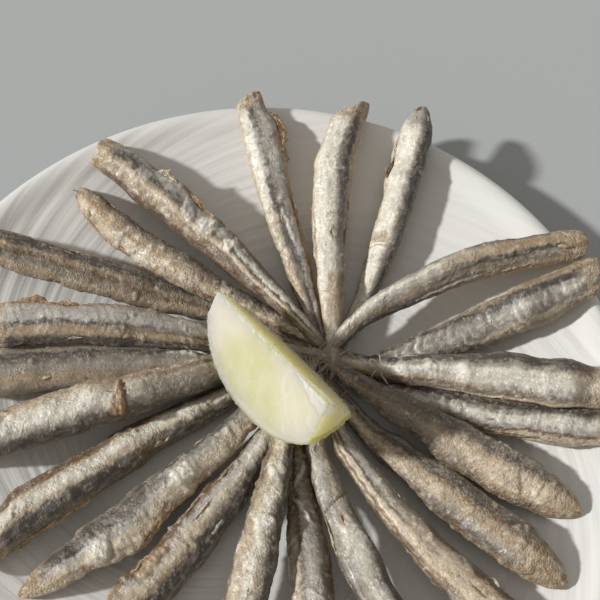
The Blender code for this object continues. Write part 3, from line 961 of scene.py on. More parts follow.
STRANDS = (
    ((39, 20, 21), (43, 19, 21), (43, 15, 20), (43.5, 13, 20), (45, 10.5, 19.5), (47, 8, 19), (52, 5, 18)),
    ((43, 15, 20.5), (41.5, 13.8, 20), (40.7, 13, 19.5), (40.5, 12, 18.5)),
    ((32, 21.5, 18.5), (35, 19.5, 19), (39, 16.5, 18.5)),
    ((26.5, 18, 15), (29, 21, 16.5), (32, 23, 17), (36, 24, 17.5)),
)


def make_fringe(bm, fringe, form, tones, salt):
    """Add one ragged edge of batter, and give the colours of its points."""
    along = form.middle[:, 0] / MM
    count = max(8, round((fringe.end - fringe.start) / FRINGE_STEP))
    row = np.interp(np.linspace(fringe.start, fringe.end, count), along, np.arange(len(along)))
    column = round(fringe.angle / 360 * ROUND_POINTS) % ROUND_POINTS
    base = curve_through(form.grid[:, column], row)
    out = curve_through(grid_normals(form.grid)[:, column], row)
    beside = form.grid[:, (column + 2) % ROUND_POINTS] - form.grid[:, column - 2]
    beside = curve_through(beside, row)
    beside /= np.linalg.norm(beside, axis=1, keepdims=True)
    lean = math.radians(fringe.lean)
    way = out * math.cos(lean) + beside * math.sin(lean)
    off = beside * math.cos(lean) - out * math.sin(lean)
    run = np.linspace(fringe.start, fringe.end, count)
    line = np.stack([run, run * 0, run * 0], axis=1)
    taper = np.sin(np.linspace(0, math.pi, count)) ** 0.5
    height = 0.62 + 0.5 * noise(line / 5.0 + 0.5, salt) + 0.28 * noise(line / 1.7 + 0.5, salt + 1)
    height = fringe.reach * np.clip(height, 0.15, 1.2) * taper
    share = np.linspace(0, 1, FRINGE_POINTS)
    share = np.concatenate([share, share[-2::-1][:-1]])
    face = np.concatenate([np.ones(FRINGE_POINTS - 1), [0], -np.ones(FRINGE_POINTS - 2)])
    thick = (FRINGE_BASE + (FRINGE_TIP - FRINGE_BASE) * share ** 0.6) / 2 * face
    spread = np.stack([np.repeat(run[:, None], len(share), axis=1), np.tile(share * 4, (count, 1)),
                       np.zeros((count, len(share)))], axis=2)
    curl = noise(spread.reshape(-1, 3) / 2.2 + 0.5, salt + 2).reshape(count, -1) * share * 1.2
    thick = thick * (1 + 0.7 * noise(spread.reshape(-1, 3) / 1.4 + 0.5, salt + 4).reshape(count, -1))
    rise = height[:, None] * share - 0.5
    grid = base[:, None] + (way[:, None] * rise[..., None] + off[:, None] * (thick + curl)[..., None]) * MM
    grid[0] = grid[0].mean(axis=0)
    grid[-1] = grid[-1].mean(axis=0)
    index = add_loft(bm, grid @ form.axes + form.origin)
    patch = noise(spread.reshape(-1, 3) / 1.7 + 0.5, salt + 3)
    colours = mix(tones[fringe.tone], tones["cream"], step_between(0.0, 0.6, patch) * 0.5)
    colours = mix(colours, tones["brown"], step_between(0.0, 0.6, -patch) * 0.6)
    return colours[index]


def make_fringes(material, tones):
    """Make the ragged edges of batter along the fish."""
    bm = bmesh.new()
    forms = {node: read_fish(node, look.back) for node, look in LOOKS.items()}
    colours = []
    chosen = [(node, fringe) for node, fringes in FRINGES.items() for fringe in fringes]
    for number, (node, fringe) in enumerate(chosen):
        colours.append(make_fringe(bm, fringe, forms[node], tones, 3 * number))
    chance = np.random.default_rng(5)
    for node in LOOKS:
        for angle in (chance.uniform(20, 70), chance.uniform(80, 130), chance.uniform(140, 200)):
            start = chance.uniform(4, 60)
            fringe = Fringe(start, start + chance.uniform(4, 14), angle, chance.uniform(0.7, 1.3),
                            chance.uniform(-40, 40), chance.choice(SMALL_FRINGE_TONES))
            colours.append(make_fringe(bm, fringe, forms[node], tones, int(chance.integers(200))))
    return crust_piece("batter_edges", bm, np.concatenate(colours), material)


def crust_piece(name, bm, colours, material):
    """Finish a piece of batter or of shreds."""
    bmesh.ops.recalc_face_normals(bm, faces=bm.faces)
    mesh = mesh_of(bm, name)
    write_colours(mesh, "skin", colours)
    write_numbers(mesh, "dry", np.ones(len(colours)))
    return new_piece(name, mesh, material)


def ray_grid(line, radius, flat):
    """Rings of a thin tapering strand along a line, flattened to a share of its width."""
    run = np.gradient(line, axis=0)
    run /= np.linalg.norm(run, axis=1, keepdims=True)
    side = np.cross(run, (0.1, 0.2, 1.0))
    side /= np.linalg.norm(side, axis=1, keepdims=True)
    over = np.cross(side, run)
    turns = np.arange(RAY_POINTS) / RAY_POINTS * math.tau
    rings = side[:, None] * np.cos(turns)[:, None] + flat * over[:, None] * np.sin(turns)[:, None]
    return line[:, None] + rings * radius[:, None, None]


def make_rays(material, tones):
    """Make the broken rays and shreds where the tails meet."""
    chance = np.random.default_rng(21)
    bm = bmesh.new()
    colours = []
    forms = [read_fish(node, look.back) for node, look in LOOKS.items()]
    steps = np.linspace(0, 1, RAY_STEPS)
    taper = np.sqrt(np.clip(1.02 - steps, 0, 1)) * np.clip(steps * 12, 0, 1)
    for number in range(RAYS):
        form = forms[number % len(forms)]
        row = int(np.argmin(np.abs(form.ring - chance.uniform(*RAY_RINGS))))
        start = form.grid[row, chance.integers(ROUND_POINTS)] @ form.axes + form.origin
        way = form.axes[0] + chance.normal(size=3) * (0.45, 0.45, 0.3)
        way /= np.linalg.norm(way)
        bend = chance.normal(size=3) * (0.6, 0.6, 0.25) - (0, 0, 0.15)
        length = chance.uniform(*RAY_LENGTHS) * MM
        line = start + length * (steps[:, None] * way + steps[:, None] ** 2 * bend)
        line += noise(line / MM / 2.5, number)[:, None] * 0.25 * MM * steps[:, None]
        wide = chance.uniform(0.15, 0.3) if number % 3 else chance.uniform(0.4, 0.9)
        index = add_loft(bm, ray_grid(line, taper * wide * MM, min(1.0, 0.22 / wide)))
        tone = mix(tones["fin"], tones[chance.choice(("ash", "brown", "smoke"))], chance.random())
        colours.append(np.tile(tone, (len(index), 1)))
    for form in forms:
        row = int(np.argmin(np.abs(form.ring - FAN_RING)))
        start = form.grid[row].mean(axis=0)
        lean = chance.uniform(-0.12, 0.2)
        for spread in np.linspace(-1, 1, FAN_RAYS):
            turn = spread * FAN_ANGLE + chance.normal() * 0.08
            length = chance.uniform(*FAN_REACH) * (0.75 + 0.25 * abs(spread)) * MM
            way = np.array((math.cos(turn), math.sin(turn), lean + chance.normal() * 0.06))
            bend = np.array((0, chance.normal() * 0.15, chance.uniform(-0.2, 0.1)))
            line = start + length * (steps[:, None] * way + steps[:, None] ** 2 * bend)
            line[:, 1] += spread * 0.8 * MM
            wide = chance.uniform(0.35, 0.7)
            index = add_loft(bm, ray_grid(line @ form.axes + form.origin, taper * wide * MM, 0.2 / wide))
            tone = mix(tones["fin"], tones[chance.choice(("ash", "silver", "tan"))], chance.random())
            colours.append(np.tile(tone, (len(index), 1)))
    for strand in STRANDS:
        line = curve_through(np.array(strand, float) * MM, np.linspace(0, len(strand) - 1, 4 * RAY_STEPS))
        line += noise(line / MM / 1.7, 3)[:, None] * 0.3 * MM
        wide = 0.30 * (1.1 + noise(line / MM / 2.0, 5)) * np.sin(np.linspace(0.1, 3.0, len(line)))
        index = add_loft(bm, ray_grid(line, wide * MM, 0.7))
        colours.append(np.tile(mix(tones["tan"], tones["ash"], 0.5), (len(index), 1)))
    turn = steps * math.radians(300)
    curl = np.stack([np.cos(turn) * 1.1, np.sin(turn) * 1.5, steps * 1.0], axis=1) * MM + CURL
    index = add_loft(bm, ray_grid(curl, (0.35 + 0.65 * np.sin(steps * math.pi)) * 0.5 * MM, 0.8))
    colours.append(np.tile(tones["cream"], (len(index), 1)))
    return crust_piece("tail_shreds", bm, np.concatenate(colours), material)


# Plate

# Streaks under the glaze: how far they lean from the plate's radius, how long, how far apart
# and how high they are, where they come up, and how far from the lip and how soon they end
STREAK_TILT = 17.0
STREAK_LENGTH = 80.0
STREAK_PITCH = 2.7
STREAK_HEIGHT = 0.36
STREAKS_START = 0.046
STREAKS_COME = (0.044, 0.060)
LIP = 0.0012
LIP_STEP = 0.001

# Mesh of the plate: steps round it and along its section, and where its foot keeps its edges
PLATE_ROUND = 420
RADIAL_STEP = 0.0007
FLOOR_STEP = 0.006
UNDER_STEP = 0.004
FOOT_EDGE = 0.0705
FLOOR_HEIGHT = 0.006
SHARP_EDGE = math.radians(40)


def plate_outline():
    """The half section of the plate's solid, from the top of its axis round to the bottom."""
    bm = merged_copy("plate")
    left = {v for v in bm.verts if abs(v.co.y) < MERGE and v.co.x > 0}
    here = min(left, key=lambda v: v.co.x)
    outline = [(0, here.co.z)]
    while here is not None:
        outline.append((here.co.x, here.co.z))
        left.discard(here)
        ways = [e.other_vert(here) for e in here.link_edges]
        here = min((v for v in ways if v in left), key=lambda v: (v.co - here.co).length, default=None)
    bm.free()
    return np.array([*outline, (0, outline[-1][1])])


def fine_outline(outline):
    """The half section with rounded walls, in close steps where the streaks are."""
    lengths = np.linalg.norm(np.diff(outline, axis=0), axis=1)
    leans = np.gradient(outline, np.concatenate([[0], np.cumsum(lengths)]), axis=0)
    sharp = (outline[:, 0] < FOOT_EDGE) & (outline[:, 1] < FLOOR_HEIGHT)
    outer = np.argmax(outline[:, 0])
    points = [outline[:1]]
    for row, length in enumerate(lengths):
        start, end = outline[row], outline[row + 1]
        if row > outer:
            step = UNDER_STEP
        else:
            step = RADIAL_STEP if end[0] > STREAKS_START else FLOOR_STEP
        count = max(1, math.ceil(length / step))
        t = (np.arange(1, count + 1) / count)[:, None]
        chord = (end - start) / length
        first = chord if sharp[row] else leans[row]
        last = chord if sharp[row + 1] else leans[row + 1]
        away = t * (1 - t) * length * ((1 - t) * (first - chord) + t * (chord - last))
        points.append(start + t * (end - start) + away)
    return np.concatenate(points)


def streak_places(places):
    """Places in a pattern whose lines spiral out across the plate at the streaks' tilt."""
    radius = np.maximum(np.hypot(places[:, 0], places[:, 1]), 0.001)
    tilt = math.radians(STREAK_TILT)
    turn = np.arctan2(places[:, 1], places[:, 0]) + np.log(radius) / math.tan(tilt)
    across = 0.1 / MM * math.sin(tilt) / STREAK_PITCH
    along = radius / MM / (STREAK_LENGTH * math.sin(tilt))
    return np.stack([np.cos(turn) * across, np.sin(turn) * across, along], axis=1)


def make_plate(material):
    """Turn the plate's half section and press the streaks into its upper side."""
    bm = bmesh.new()
    outline = fine_outline(plate_outline())
    verts = [bm.verts.new((x, 0, z)) for x, z in outline]
    edges = [bm.edges.new(pair) for pair in zip(verts, verts[1:])]
    bmesh.ops.spin(bm, geom=verts + edges, cent=(0, 0, 0), axis=(0, 0, 1), angle=math.tau,
                   steps=PLATE_ROUND, use_merge=True)
    bmesh.ops.remove_doubles(bm, verts=bm.verts, dist=MERGE)
    bmesh.ops.recalc_face_normals(bm, faces=bm.faces)
    mesh = mesh_of(bm, "plate_glazed")
    places = places_of(mesh)
    normals = normals_of(mesh)
    radius = np.hypot(places[:, 0], places[:, 1])
    lip = outline[:, 0].max() - LIP
    pattern = streak_places(places)
    waves = noise(pattern, 3) * 0.85 + noise(pattern * (1.9, 1.9, 1.2), 4) * 0.22
    inside = step_between(*STREAKS_COME, radius) * step_between(lip, lip - LIP_STEP, radius)
    where = (normals[:, 2] > 0.5) * inside
    height = STREAK_HEIGHT * waves * where
    move_points(mesh, places + normals * height[:, None] * MM)
    write_vectors(mesh, "streaks", pattern)
    write_numbers(mesh, "streaked", where)
    piece = new_piece("plate_glazed", mesh, material)
    mesh.set_sharp_from_angle(angle=SHARP_EDGE)
    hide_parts("plate")
    return piece


# Lemon

LEMON_VOXEL = 0.00042
RIND_DEPTH = 1.4
PITH_DEPTH = 2.6


class WedgeForm(NamedTuple):
    """Where a wedge of lemon lies: a point on its ridge, the way along the ridge, and the
    outward normals of its two large cuts."""

    place: np.ndarray
    ridge: np.ndarray
    cuts: tuple


def read_wedge(bm):
    """Find the ridge and the large cuts of the wedge's solid."""
    areas = {}
    for face in bm.faces:
        key = tuple(round(x, 2) for x in face.normal)
        areas[key] = areas.get(key, 0) + face.calc_area()
    largest = sorted(areas, key=areas.get)[-2:]
    cuts = []
    for key in largest:
        faces = [f for f in bm.faces if tuple(round(x, 2) for x in f.normal) == key]
        normal = np.array(sum((f.normal * f.calc_area() for f in faces), Vector()).normalized())
        middle = np.array(faces[0].calc_center_median())
        cuts.append((normal, middle @ normal))
    (first, first_reach), (second, second_reach) = cuts
    ridge = np.cross(first, second)
    ridge /= np.linalg.norm(ridge)
    if ridge[1] > 0:
        ridge = -ridge
    middle = np.array(sum((v.co for v in bm.verts), Vector()) / len(bm.verts))
    rows = np.stack([first, second, ridge])
    place = np.linalg.solve(rows, [first_reach, second_reach, middle @ ridge])
    if first[0] > second[0]:
        first, second = second, first
    return WedgeForm(place, ridge, (first, second))


def make_lemon(material, tones):
    """Replace the wedge by one with rind, pith, membranes and pulp, with painted light on its shaded cut
    faces.
    """
    bm = merged_copy("lemon_wedge")
    form = read_wedge(bm)
    mesh = mesh_of(bm, "lemon_fine")
    holder = link_object("lemon_fine", mesh)
    remesh = holder.modifiers.new("remesh", "REMESH")
    remesh.mode = "VOXEL"
    remesh.voxel_size = LEMON_VOXEL
    depsgraph = bpy.context.evaluated_depsgraph_get()
    fine = bpy.data.meshes.new_from_object(holder.evaluated_get(depsgraph))
    bpy.data.objects.remove(holder)

    places = places_of(fine)
    normals = normals_of(fine)
    from_ridge = (places - form.place) / MM
    along = from_ridge @ form.ridge
    radial = from_ridge - along[:, None] * form.ridge
    radius = np.linalg.norm(radial, axis=1)
    steps = np.arange(math.floor(along.min()), math.ceil(along.max()) + 1)
    reach = [radius[np.abs(along - s) < 0.45].max(initial=0.0) for s in steps]
    depth = np.interp(along, steps, reach) - radius
    cut = np.max([normals @ n for n in form.cuts], axis=0)
    end = np.abs(normals @ form.ridge)
    open_face = step_between(0.75, 0.93, np.maximum(cut, np.where(depth > 0.6, end, 0)))

    half = (along.max() - along.min()) / 2
    off = (along - (along.max() + along.min()) / 2) / half
    wobble = noise(from_ridge / 3.0, 5)
    slow = noise(from_ridge / 7.0, 13)
    pith_edge = PITH_DEPTH + wobble * 0.5 + slow * 0.4
    pulp = step_between(pith_edge - 0.5, pith_edge + 0.8, depth)
    film = step_between(-0.22, -0.46, off + radius * 0.018 + 0.15 * slow)
    knob = step_between(0.45, 0.95, off)
    core = step_between(1.2 + 4.4 * knob, 0.5 + 3.0 * knob, radius + wobble * (0.6 + 0.9 * knob))
    core *= step_between(0.15, 0.6, off + 0.3 * wobble)
    sacs = np.stack([along / 2.6 + wobble * 0.3, radius / 8.5 + slow * 0.3,
                     (normals @ form.cuts[0] > 0.7) * 9.0], axis=1)
    near, second, chance = spots(sacs, 6)
    wall = step_between(0.14, 0.02, second - near)
    bowed = along / 2.4 - radius * radius / 70 + slow * 1.2 + wobble * 0.4
    fibres = step_between(-0.1, 0.6, noise(np.stack([bowed, radius / 11, along * 0], axis=1), 7))
    pale = step_between(-0.02, 0.32, off - radius * 0.022 + 0.1 * slow)

    # Trimmed end: it takes the brightened pulp colour, painted light standing in for light that passes
    # through the shaded pulp
    trim = step_between(0.75, 0.93, normals @ form.ridge)
    second_cut = step_between(0.75, 0.93, normals @ form.cuts[1])
    edge = step_between(1.8, 0.4, depth) * (normals @ form.cuts[0] < 0.5)
    height = 0.25 * second_cut * noise(from_ridge / 1.1, 16)
    height += 0.45 * edge * noise(from_ridge / 1.2, 17)
    height += open_face * pulp * (0.05 * (0.5 - wall) + 0.03 * noise(from_ridge / 1.2, 8) + 0.18 * slow)
    height += open_face * (1 - pulp) * 0.10 * noise(from_ridge / 0.8, 9)
    height += open_face * core * (0.3 + 0.6 * knob) + open_face * pale * 0.08 * fibres
    height += step_between(2.2, 0.4, radius) * 0.45 * noise(from_ridge / 1.6, 14)
    pores, _, _ = spots(from_ridge / 1.7, 10)
    height += (1 - open_face) * (0.10 * noise(from_ridge / 5, 11) - 0.16 * step_between(0.4, 0.1, pores))
    move_points(fine, places + normals * height[:, None] * MM)

    flesh = mix(tones["pulp"], tones["pulp_deep"], step_between(-0.5, 0.6, slow + 0.3 * wobble))
    colour = mix(tones["pith"], tones["albedo"], step_between(1.2, 2.4, depth))
    colour = mix(colour, flesh, pulp)
    colour = mix(colour, tones["albedo"], (0.16 + 0.1 * chance) * wall * pulp)
    colour = mix(colour, tones["pith"], 0.9 * film * pulp)
    colour = mix(colour, tones["pith"], pale * (0.62 + 0.36 * fibres) * pulp)
    # Painted light: the trimmed end and the second cut, which lie in shade, take a near-white pulp colour,
    # partly the pulp's own tone
    colour = mix(colour, tones["trim"], 0.85 * trim)
    colour = mix(colour, tones["trim"], 0.9 * second_cut * pulp)
    colour = lighten(colour, 0.25 * second_cut * noise(from_ridge / 0.9, 15))
    colour = mix(colour, tones["pith"] * 1.06, 0.95 * core)
    colour = mix(tones["rind"] * np.ones((len(along), 3)), colour, open_face)
    outer = step_between(RIND_DEPTH, RIND_DEPTH * 0.4, depth + wobble * 0.15)
    colour = mix(colour, tones["rind"], outer)
    write_colours(fine, "flesh", np.minimum(colour, BRIGHTEST))
    write_numbers(fine, "pulp", pulp * open_face)
    piece = new_piece("lemon_cut", fine, material)
    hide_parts("lemon_wedge")
    return piece


# Materials

def new_group(name, inputs, outputs):
    """A shader node group with named sockets."""
    group = bpy.data.node_groups.new(name, "ShaderNodeTree")
    for way, sockets in (("INPUT", inputs), ("OUTPUT", outputs)):
        for label, kind in sockets.items():
            group.interface.new_socket(label, in_out=way, socket_type=f"NodeSocket{kind}")
    return group


def feed(tree, node, values):
    """Set a node's inputs, or link those that are given another node's output."""
    for label, value in values.items():
        if isinstance(value, bpy.types.NodeSocket):
            tree.links.new(value, node.inputs[label])
        else:
            node.inputs[label].default_value = value


def add_node(tree, kind, values=None, **settings):
    """A shader node with its input values and its settings."""
    node = tree.nodes.new(f"ShaderNode{kind}")
    for name, value in settings.items():
        setattr(node, name, value)
    feed(tree, node, values or {})
    return node


def multiply_add(tree, value, factor, offset):
    """The output of a node that multiplies a value and adds to it."""
    values = {0: value, 1: factor, 2: offset}
    return add_node(tree, "Math", values, operation="MULTIPLY_ADD").outputs["Value"]


def multiply(tree, first, second):
    """The output of a node that multiplies two values."""
    return add_node(tree, "Math", {0: first, 1: second}, operation="MULTIPLY").outputs["Value"]


def map_range(tree, value, start, end, low=0.0, high=1.0):
    """The output of a node that maps a range of values onto another."""
    values = {"Value": value, "From Min": start, "From Max": end, "To Min": low, "To Max": high}
    return add_node(tree, "MapRange", values).outputs["Result"]


def bump(tree, height, strength, distance):
    """The normals of a surface with small bumps."""
    values = {"Height": height, "Strength": strength, "Distance": distance}
    return add_node(tree, "Bump", values).outputs["Normal"]


def noise_texture(tree, place, scale, detail, roughness=0.5):
    """The output of a noise texture."""
    values = {"Vector": place, "Scale": scale, "Detail": detail, "Roughness": roughness}
    return add_node(tree, "TexNoise", values).outputs["Fac"]


def object_place(tree):
    """The output of a node that gives places in the object's own coordinates."""
    return add_node(tree, "TexCoord").outputs["Object"]


def attribute(tree, name, output="Fac"):
    """The output of a node that reads an attribute of the mesh."""
    return add_node(tree, "Attribute", attribute_name=name).outputs[output]


def grain_group():
    """Fine grain of a fried surface: speckled colour with painted glints, uneven gloss and small bumps."""
    group = new_group(
        "fried_grain",
        {"Color": "Color", "Dry": "Float"},
        {"Color": "Color", "Roughness": "Float", "Normal": "Vector"},
    )
    source = group.nodes.new("NodeGroupInput").outputs
    result = group.nodes.new("NodeGroupOutput")
    place = object_place(group)
    coarse = noise_texture(group, place, 700.0, 4.0, 0.65)
    fine = noise_texture(group, place, 2600.0, 2.0, 0.6)
    cells = add_node(group, "TexVoronoi", {"Vector": place, "Scale": 1300.0}).outputs

    deep = multiply_add(group, source["Dry"], 0.75, 0.30)
    speckle = multiply_add(group, map_range(group, coarse, 0.32, 0.68, -0.20, 0.20), deep, 1.0)
    # Painted glints: bright cells lighten the colour, and make it a little glossier
    glint = map_range(group, cells["Color"], 0.66, 0.80)
    lit = multiply_add(group, glint, 0.26, speckle)
    shaded = add_node(group, "VectorMath", {0: source["Color"], "Scale": lit}, operation="SCALE")
    gloss = map_range(group, coarse, 0.3, 0.7, 0.33, 0.60)
    dull = multiply_add(group, source["Dry"], 0.17, gloss)
    height = multiply(group, multiply_add(group, cells["Distance"], -1.2, fine), deep)
    feed(group, result, {
        "Color": shaded.outputs["Vector"],
        "Roughness": multiply_add(group, glint, -0.06, dull),
        "Normal": bump(group, height, 0.9, 0.00032),
    })
    return group


def new_material(name):
    """A material, its node tree and its Principled shader."""
    material = bpy.data.materials.new(name)
    material.use_nodes = True
    return material, material.node_tree, material.node_tree.nodes["Principled BSDF"]


def fish_material(group):
    """Fried fish skin: colours and dryness come from the surface, grain from the group."""
    material, tree, shader = new_material("fried_skin")
    values = {"Color": attribute(tree, "skin", "Color"), "Dry": attribute(tree, "dry")}
    grain = add_node(tree, "Group", node_tree=group)
    feed(tree, grain, values)
    feed(tree, shader, {
        "Base Color": grain.outputs["Color"],
        "Roughness": grain.outputs["Roughness"],
        "Normal": grain.outputs["Normal"],
        "Specular IOR Level": 0.6,
        "Coat Weight": 0.10,
        "Coat Roughness": 0.2,
        "Subsurface Weight": 0.35,
        "Subsurface Radius": (1.0, 0.8, 0.55),
        "Subsurface Scale": 0.0014,
    })
    return material


def glaze_material(colour):
    """White glaze, pooled a little in the streaks that were pressed under it."""
    material, tree, shader = new_material("white_glaze")
    fine = noise_texture(tree, attribute(tree, "streaks", "Vector"), 2.0, 2.0)
    height = multiply(tree, fine, attribute(tree, "streaked"))
    feed(tree, shader, {
        "Base Color": (*colour, 1),
        "Roughness": 0.22,
        "Specular IOR Level": 0.5,
        "Normal": bump(tree, height, 0.6, 0.0003),
    })
    return material


def lemon_material():
    """Moist cut lemon: light passes into the pulp and the pith."""
    material, tree, shader = new_material("cut_lemon")
    grain = noise_texture(tree, object_place(tree), 1500.0, 3.0)
    feed(tree, shader, {
        "Base Color": attribute(tree, "flesh", "Color"),
        "Roughness": map_range(tree, attribute(tree, "pulp"), 0.0, 1.0, 0.6, 0.42),
        "Normal": bump(tree, grain, 0.4, 0.0001),
        "Subsurface Weight": 1.0,
        "Subsurface Radius": (1.0, 0.97, 0.8),
        "Subsurface Scale": 0.03,
        "Subsurface Anisotropy": 0.6,
    })
    return material


# Stage

def make_floor(colour):
    """A wide plain floor just under the plate."""
    bm = bmesh.new()
    bmesh.ops.create_grid(bm, x_segments=1, y_segments=1, size=3.0)
    mesh = bpy.data.meshes.new("floor")
    bm.to_mesh(mesh)
    bm.free()
    material, tree, shader = new_material("pale_floor")
    feed(tree, shader, {"Base Color": (*colour, 1), "Roughness": 0.9})
    mesh.materials.append(material)
    link_object("floor", mesh)


def make_camera():
    """The photograph's view."""
    data = bpy.data.cameras.new("view")
    data.sensor_fit = "HORIZONTAL"
    data.angle = math.radians(VIEW_ANGLE)
    data.clip_start = 0.01
    camera = link_object("view", data)
    camera.location = VIEW_PLACE
    camera.rotation_euler = (math.radians(VIEW_TILT), 0, 0)
    bpy.context.scene.camera = camera


def make_light(settings):
    """A soft low key from the left, and even fill from all round."""
    data = bpy.data.lights.new("key", "SUN")
    data.energy = settings.key_strength
    data.color = settings.key_colour
    data.angle = settings.key_softness
    key = link_object("key", data)
    height = settings.key_height
    turn = settings.key_turn
    level = math.cos(height)
    toward = Vector((-level * math.cos(turn), level * math.sin(turn), math.sin(height)))
    key.rotation_euler = toward.to_track_quat("Z", "Y").to_euler()
    world = bpy.data.worlds.new("fill")
    world.use_nodes = True
    shader = world.node_tree.nodes["Background"]
    shader.inputs["Color"].default_value = (*settings.fill_colour, 1)
    shader.inputs["Strength"].default_value = settings.fill_strength
    bpy.context.scene.world = world
    bpy.context.scene.view_settings.view_transform = "Standard"


# Settings

def colour_setting(name, description, colour):
    """A colour in the sidebar."""
    return FloatVectorProperty(name=name, description=description, subtype="COLOR", size=3,
                               min=0, max=1, default=colour)


class FishSettings(bpy.types.PropertyGroup):
    """Tones of the fried skin."""

    silver: colour_setting("Silver", "Bare flank", (0.48, 0.455, 0.425))
    # White is also the tone of the painted highlights on fold crests, blisters and pale specks
    white: colour_setting("White", "Palest flank and blisters", (0.76, 0.73, 0.65))
    ash: colour_setting("Ash", "Thin crust over the flank", (0.355, 0.325, 0.280))
    cream: colour_setting("Cream", "Floured belly", (0.61, 0.52, 0.40))
    tan: colour_setting("Tan", "Fried flour", (0.405, 0.312, 0.215))
    gold: colour_setting("Gold", "Deep fried ends", (0.41, 0.29, 0.165))
    rust: colour_setting("Rust", "Dark fried drips", (0.36, 0.215, 0.11))
    brown: colour_setting("Brown", "Burnt edges and slits", (0.165, 0.102, 0.056))
    smoke: colour_setting("Smoke", "Thin crust over grey skin", (0.225, 0.195, 0.158))
    slate: colour_setting("Slate", "Dark back", (0.098, 0.086, 0.076))
    fin: colour_setting("Fin", "Dry tail fins", (0.35, 0.275, 0.195))


class PlateSettings(bpy.types.PropertyGroup):
    """Colour of the plate."""

    glaze: colour_setting("Glaze", "White glaze", (0.80, 0.80, 0.78))


class LemonSettings(bpy.types.PropertyGroup):
    """Colours of the lemon."""

    rind: colour_setting("Rind", "Outer skin", (0.60, 0.55, 0.17))
    pith: colour_setting("Pith", "White pith and membranes", (0.77, 0.715, 0.575))
    albedo: colour_setting("Inner pith", "Pith next to the pulp", (0.75, 0.72, 0.52))
    pulp: colour_setting("Pulp", "Pale pulp", (0.67, 0.65, 0.43))
    pulp_deep: colour_setting("Deep pulp", "Wetter pulp", (0.62, 0.605, 0.355))
    # Pulp cut across, brightened near to white as painted light on the shaded trimmed end and second cut
    trim: colour_setting("Trimmed end", "Pulp cut across", (0.985, 0.82, 0.42))


class StageSettings(bpy.types.PropertyGroup):
    """Light and floor."""

    key_strength: FloatProperty(name="Key", description="Strength of the key light", default=3.12)
    key_colour: colour_setting("Key colour", "Colour of the key light", (1.0, 0.99, 0.97))
    key_height: FloatProperty(name="Key height", description="Angle of the key over the floor",
                              subtype="ANGLE", default=math.radians(31.5))
    key_turn: FloatProperty(name="Key turn", description="How far the key comes from the back",
                            subtype="ANGLE", default=math.radians(-4))
    key_softness: FloatProperty(name="Key softness", description="Angle that the key light fills",
                                subtype="ANGLE", default=math.radians(4))
    fill_strength: FloatProperty(name="Fill", description="Strength of the light all round", default=0.325)
    fill_colour: colour_setting("Fill colour", "Colour of the light all round", (1.0, 0.945, 0.885))
    floor: colour_setting("Floor", "Plain floor", (0.462, 0.487, 0.495))


class AnchovyPlateSettings(bpy.types.PropertyGroup):
    """All settings of the plate of anchovies."""

    fish: PointerProperty(type=FishSettings)
    plate: PointerProperty(type=PlateSettings)
    lemon: PointerProperty(type=LemonSettings)
    stage: PointerProperty(type=StageSettings)


def tones_of(settings):
    """The colours of a settings group by name."""
    names = settings.__annotations__
    return {name: np.array(getattr(settings, name)) for name in names}


# Operators and panel

class ANCHOVY_PLATE_OT_stage(bpy.types.Operator):
    """Make the floor, the light and the camera"""

    bl_idname = "anchovy_plate.stage"
    bl_label = "Make Stage"

    def execute(self, context):
        settings = context.scene.anchovy_plate.stage
        make_camera()
        make_light(settings)
        make_floor(settings.floor)
        return {"FINISHED"}


class ANCHOVY_PLATE_OT_plate(bpy.types.Operator):
    """Make the glazed plate"""

    bl_idname = "anchovy_plate.plate"
    bl_label = "Make Plate"

    def execute(self, context):
        make_plate(glaze_material(context.scene.anchovy_plate.plate.glaze))
        return {"FINISHED"}


class ANCHOVY_PLATE_OT_fish(bpy.types.Operator):
    """Make the fried anchovies"""

    bl_idname = "anchovy_plate.fish"
    bl_label = "Make Anchovies"

    def execute(self, context):
        tones = tones_of(context.scene.anchovy_plate.fish)
        material = fish_material(grain_group())
        for node, look in LOOKS.items():
            make_fish(node, look, material, tones)
        return {"FINISHED"}


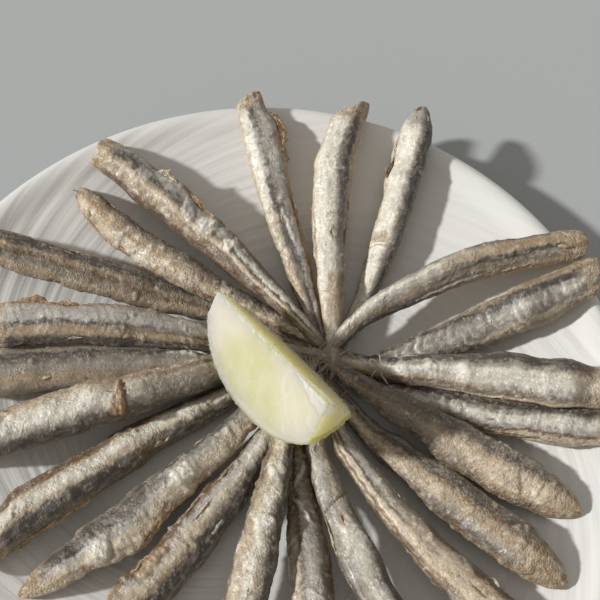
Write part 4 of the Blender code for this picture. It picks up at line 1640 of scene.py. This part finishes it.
class ANCHOVY_PLATE_OT_crust(bpy.types.Operator):
    """Make the thin edges of batter and the shreds of tail"""

    bl_idname = "anchovy_plate.crust"
    bl_label = "Make Batter Edges"

    def execute(self, context):
        tones = tones_of(context.scene.anchovy_plate.fish)
        material = bpy.data.materials["fried_skin"]
        make_fringes(material, tones)
        make_rays(material, tones)
        return {"FINISHED"}


class ANCHOVY_PLATE_OT_lemon(bpy.types.Operator):
    """Make the wedge of lemon"""

    bl_idname = "anchovy_plate.lemon"
    bl_label = "Make Lemon"

    def execute(self, context):
        make_lemon(lemon_material(), tones_of(context.scene.anchovy_plate.lemon))
        return {"FINISHED"}


class ANCHOVY_PLATE_PT_panel(bpy.types.Panel):
    """Lists the steps in the sidebar"""

    bl_label = "Plate of Anchovies"
    bl_idname = "ANCHOVY_PLATE_PT_panel"
    bl_space_type = "VIEW_3D"
    bl_region_type = "UI"
    bl_category = "Food"

    def draw(self, context):
        for operator in OPERATORS:
            self.layout.operator(operator.bl_idname)


OPERATORS = (
    ANCHOVY_PLATE_OT_stage,
    ANCHOVY_PLATE_OT_plate,
    ANCHOVY_PLATE_OT_fish,
    ANCHOVY_PLATE_OT_crust,
    ANCHOVY_PLATE_OT_lemon,
)
CLASSES = (FishSettings, PlateSettings, LemonSettings, StageSettings, AnchovyPlateSettings,
           *OPERATORS, ANCHOVY_PLATE_PT_panel)


def register():
    """Register the classes and the settings."""
    for each in CLASSES:
        bpy.utils.register_class(each)
    bpy.types.Scene.anchovy_plate = PointerProperty(type=AnchovyPlateSettings)


def unregister():
    """Take back what register did."""
    del bpy.types.Scene.anchovy_plate
    for each in reversed(CLASSES):
        bpy.utils.unregister_class(each)


def main():
    """Make everything in order."""
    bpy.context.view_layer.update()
    register()
    bpy.ops.anchovy_plate.stage()
    bpy.ops.anchovy_plate.plate()
    bpy.ops.anchovy_plate.fish()
    bpy.ops.anchovy_plate.crust()
    bpy.ops.anchovy_plate.lemon()
    for mesh in [m for m in bpy.data.meshes if m.name.startswith("loft_")]:
        bpy.data.meshes.remove(mesh)
    loft_pattern.cache_clear()
    read_fish.cache_clear()


if __name__ == "__main__":
    main()
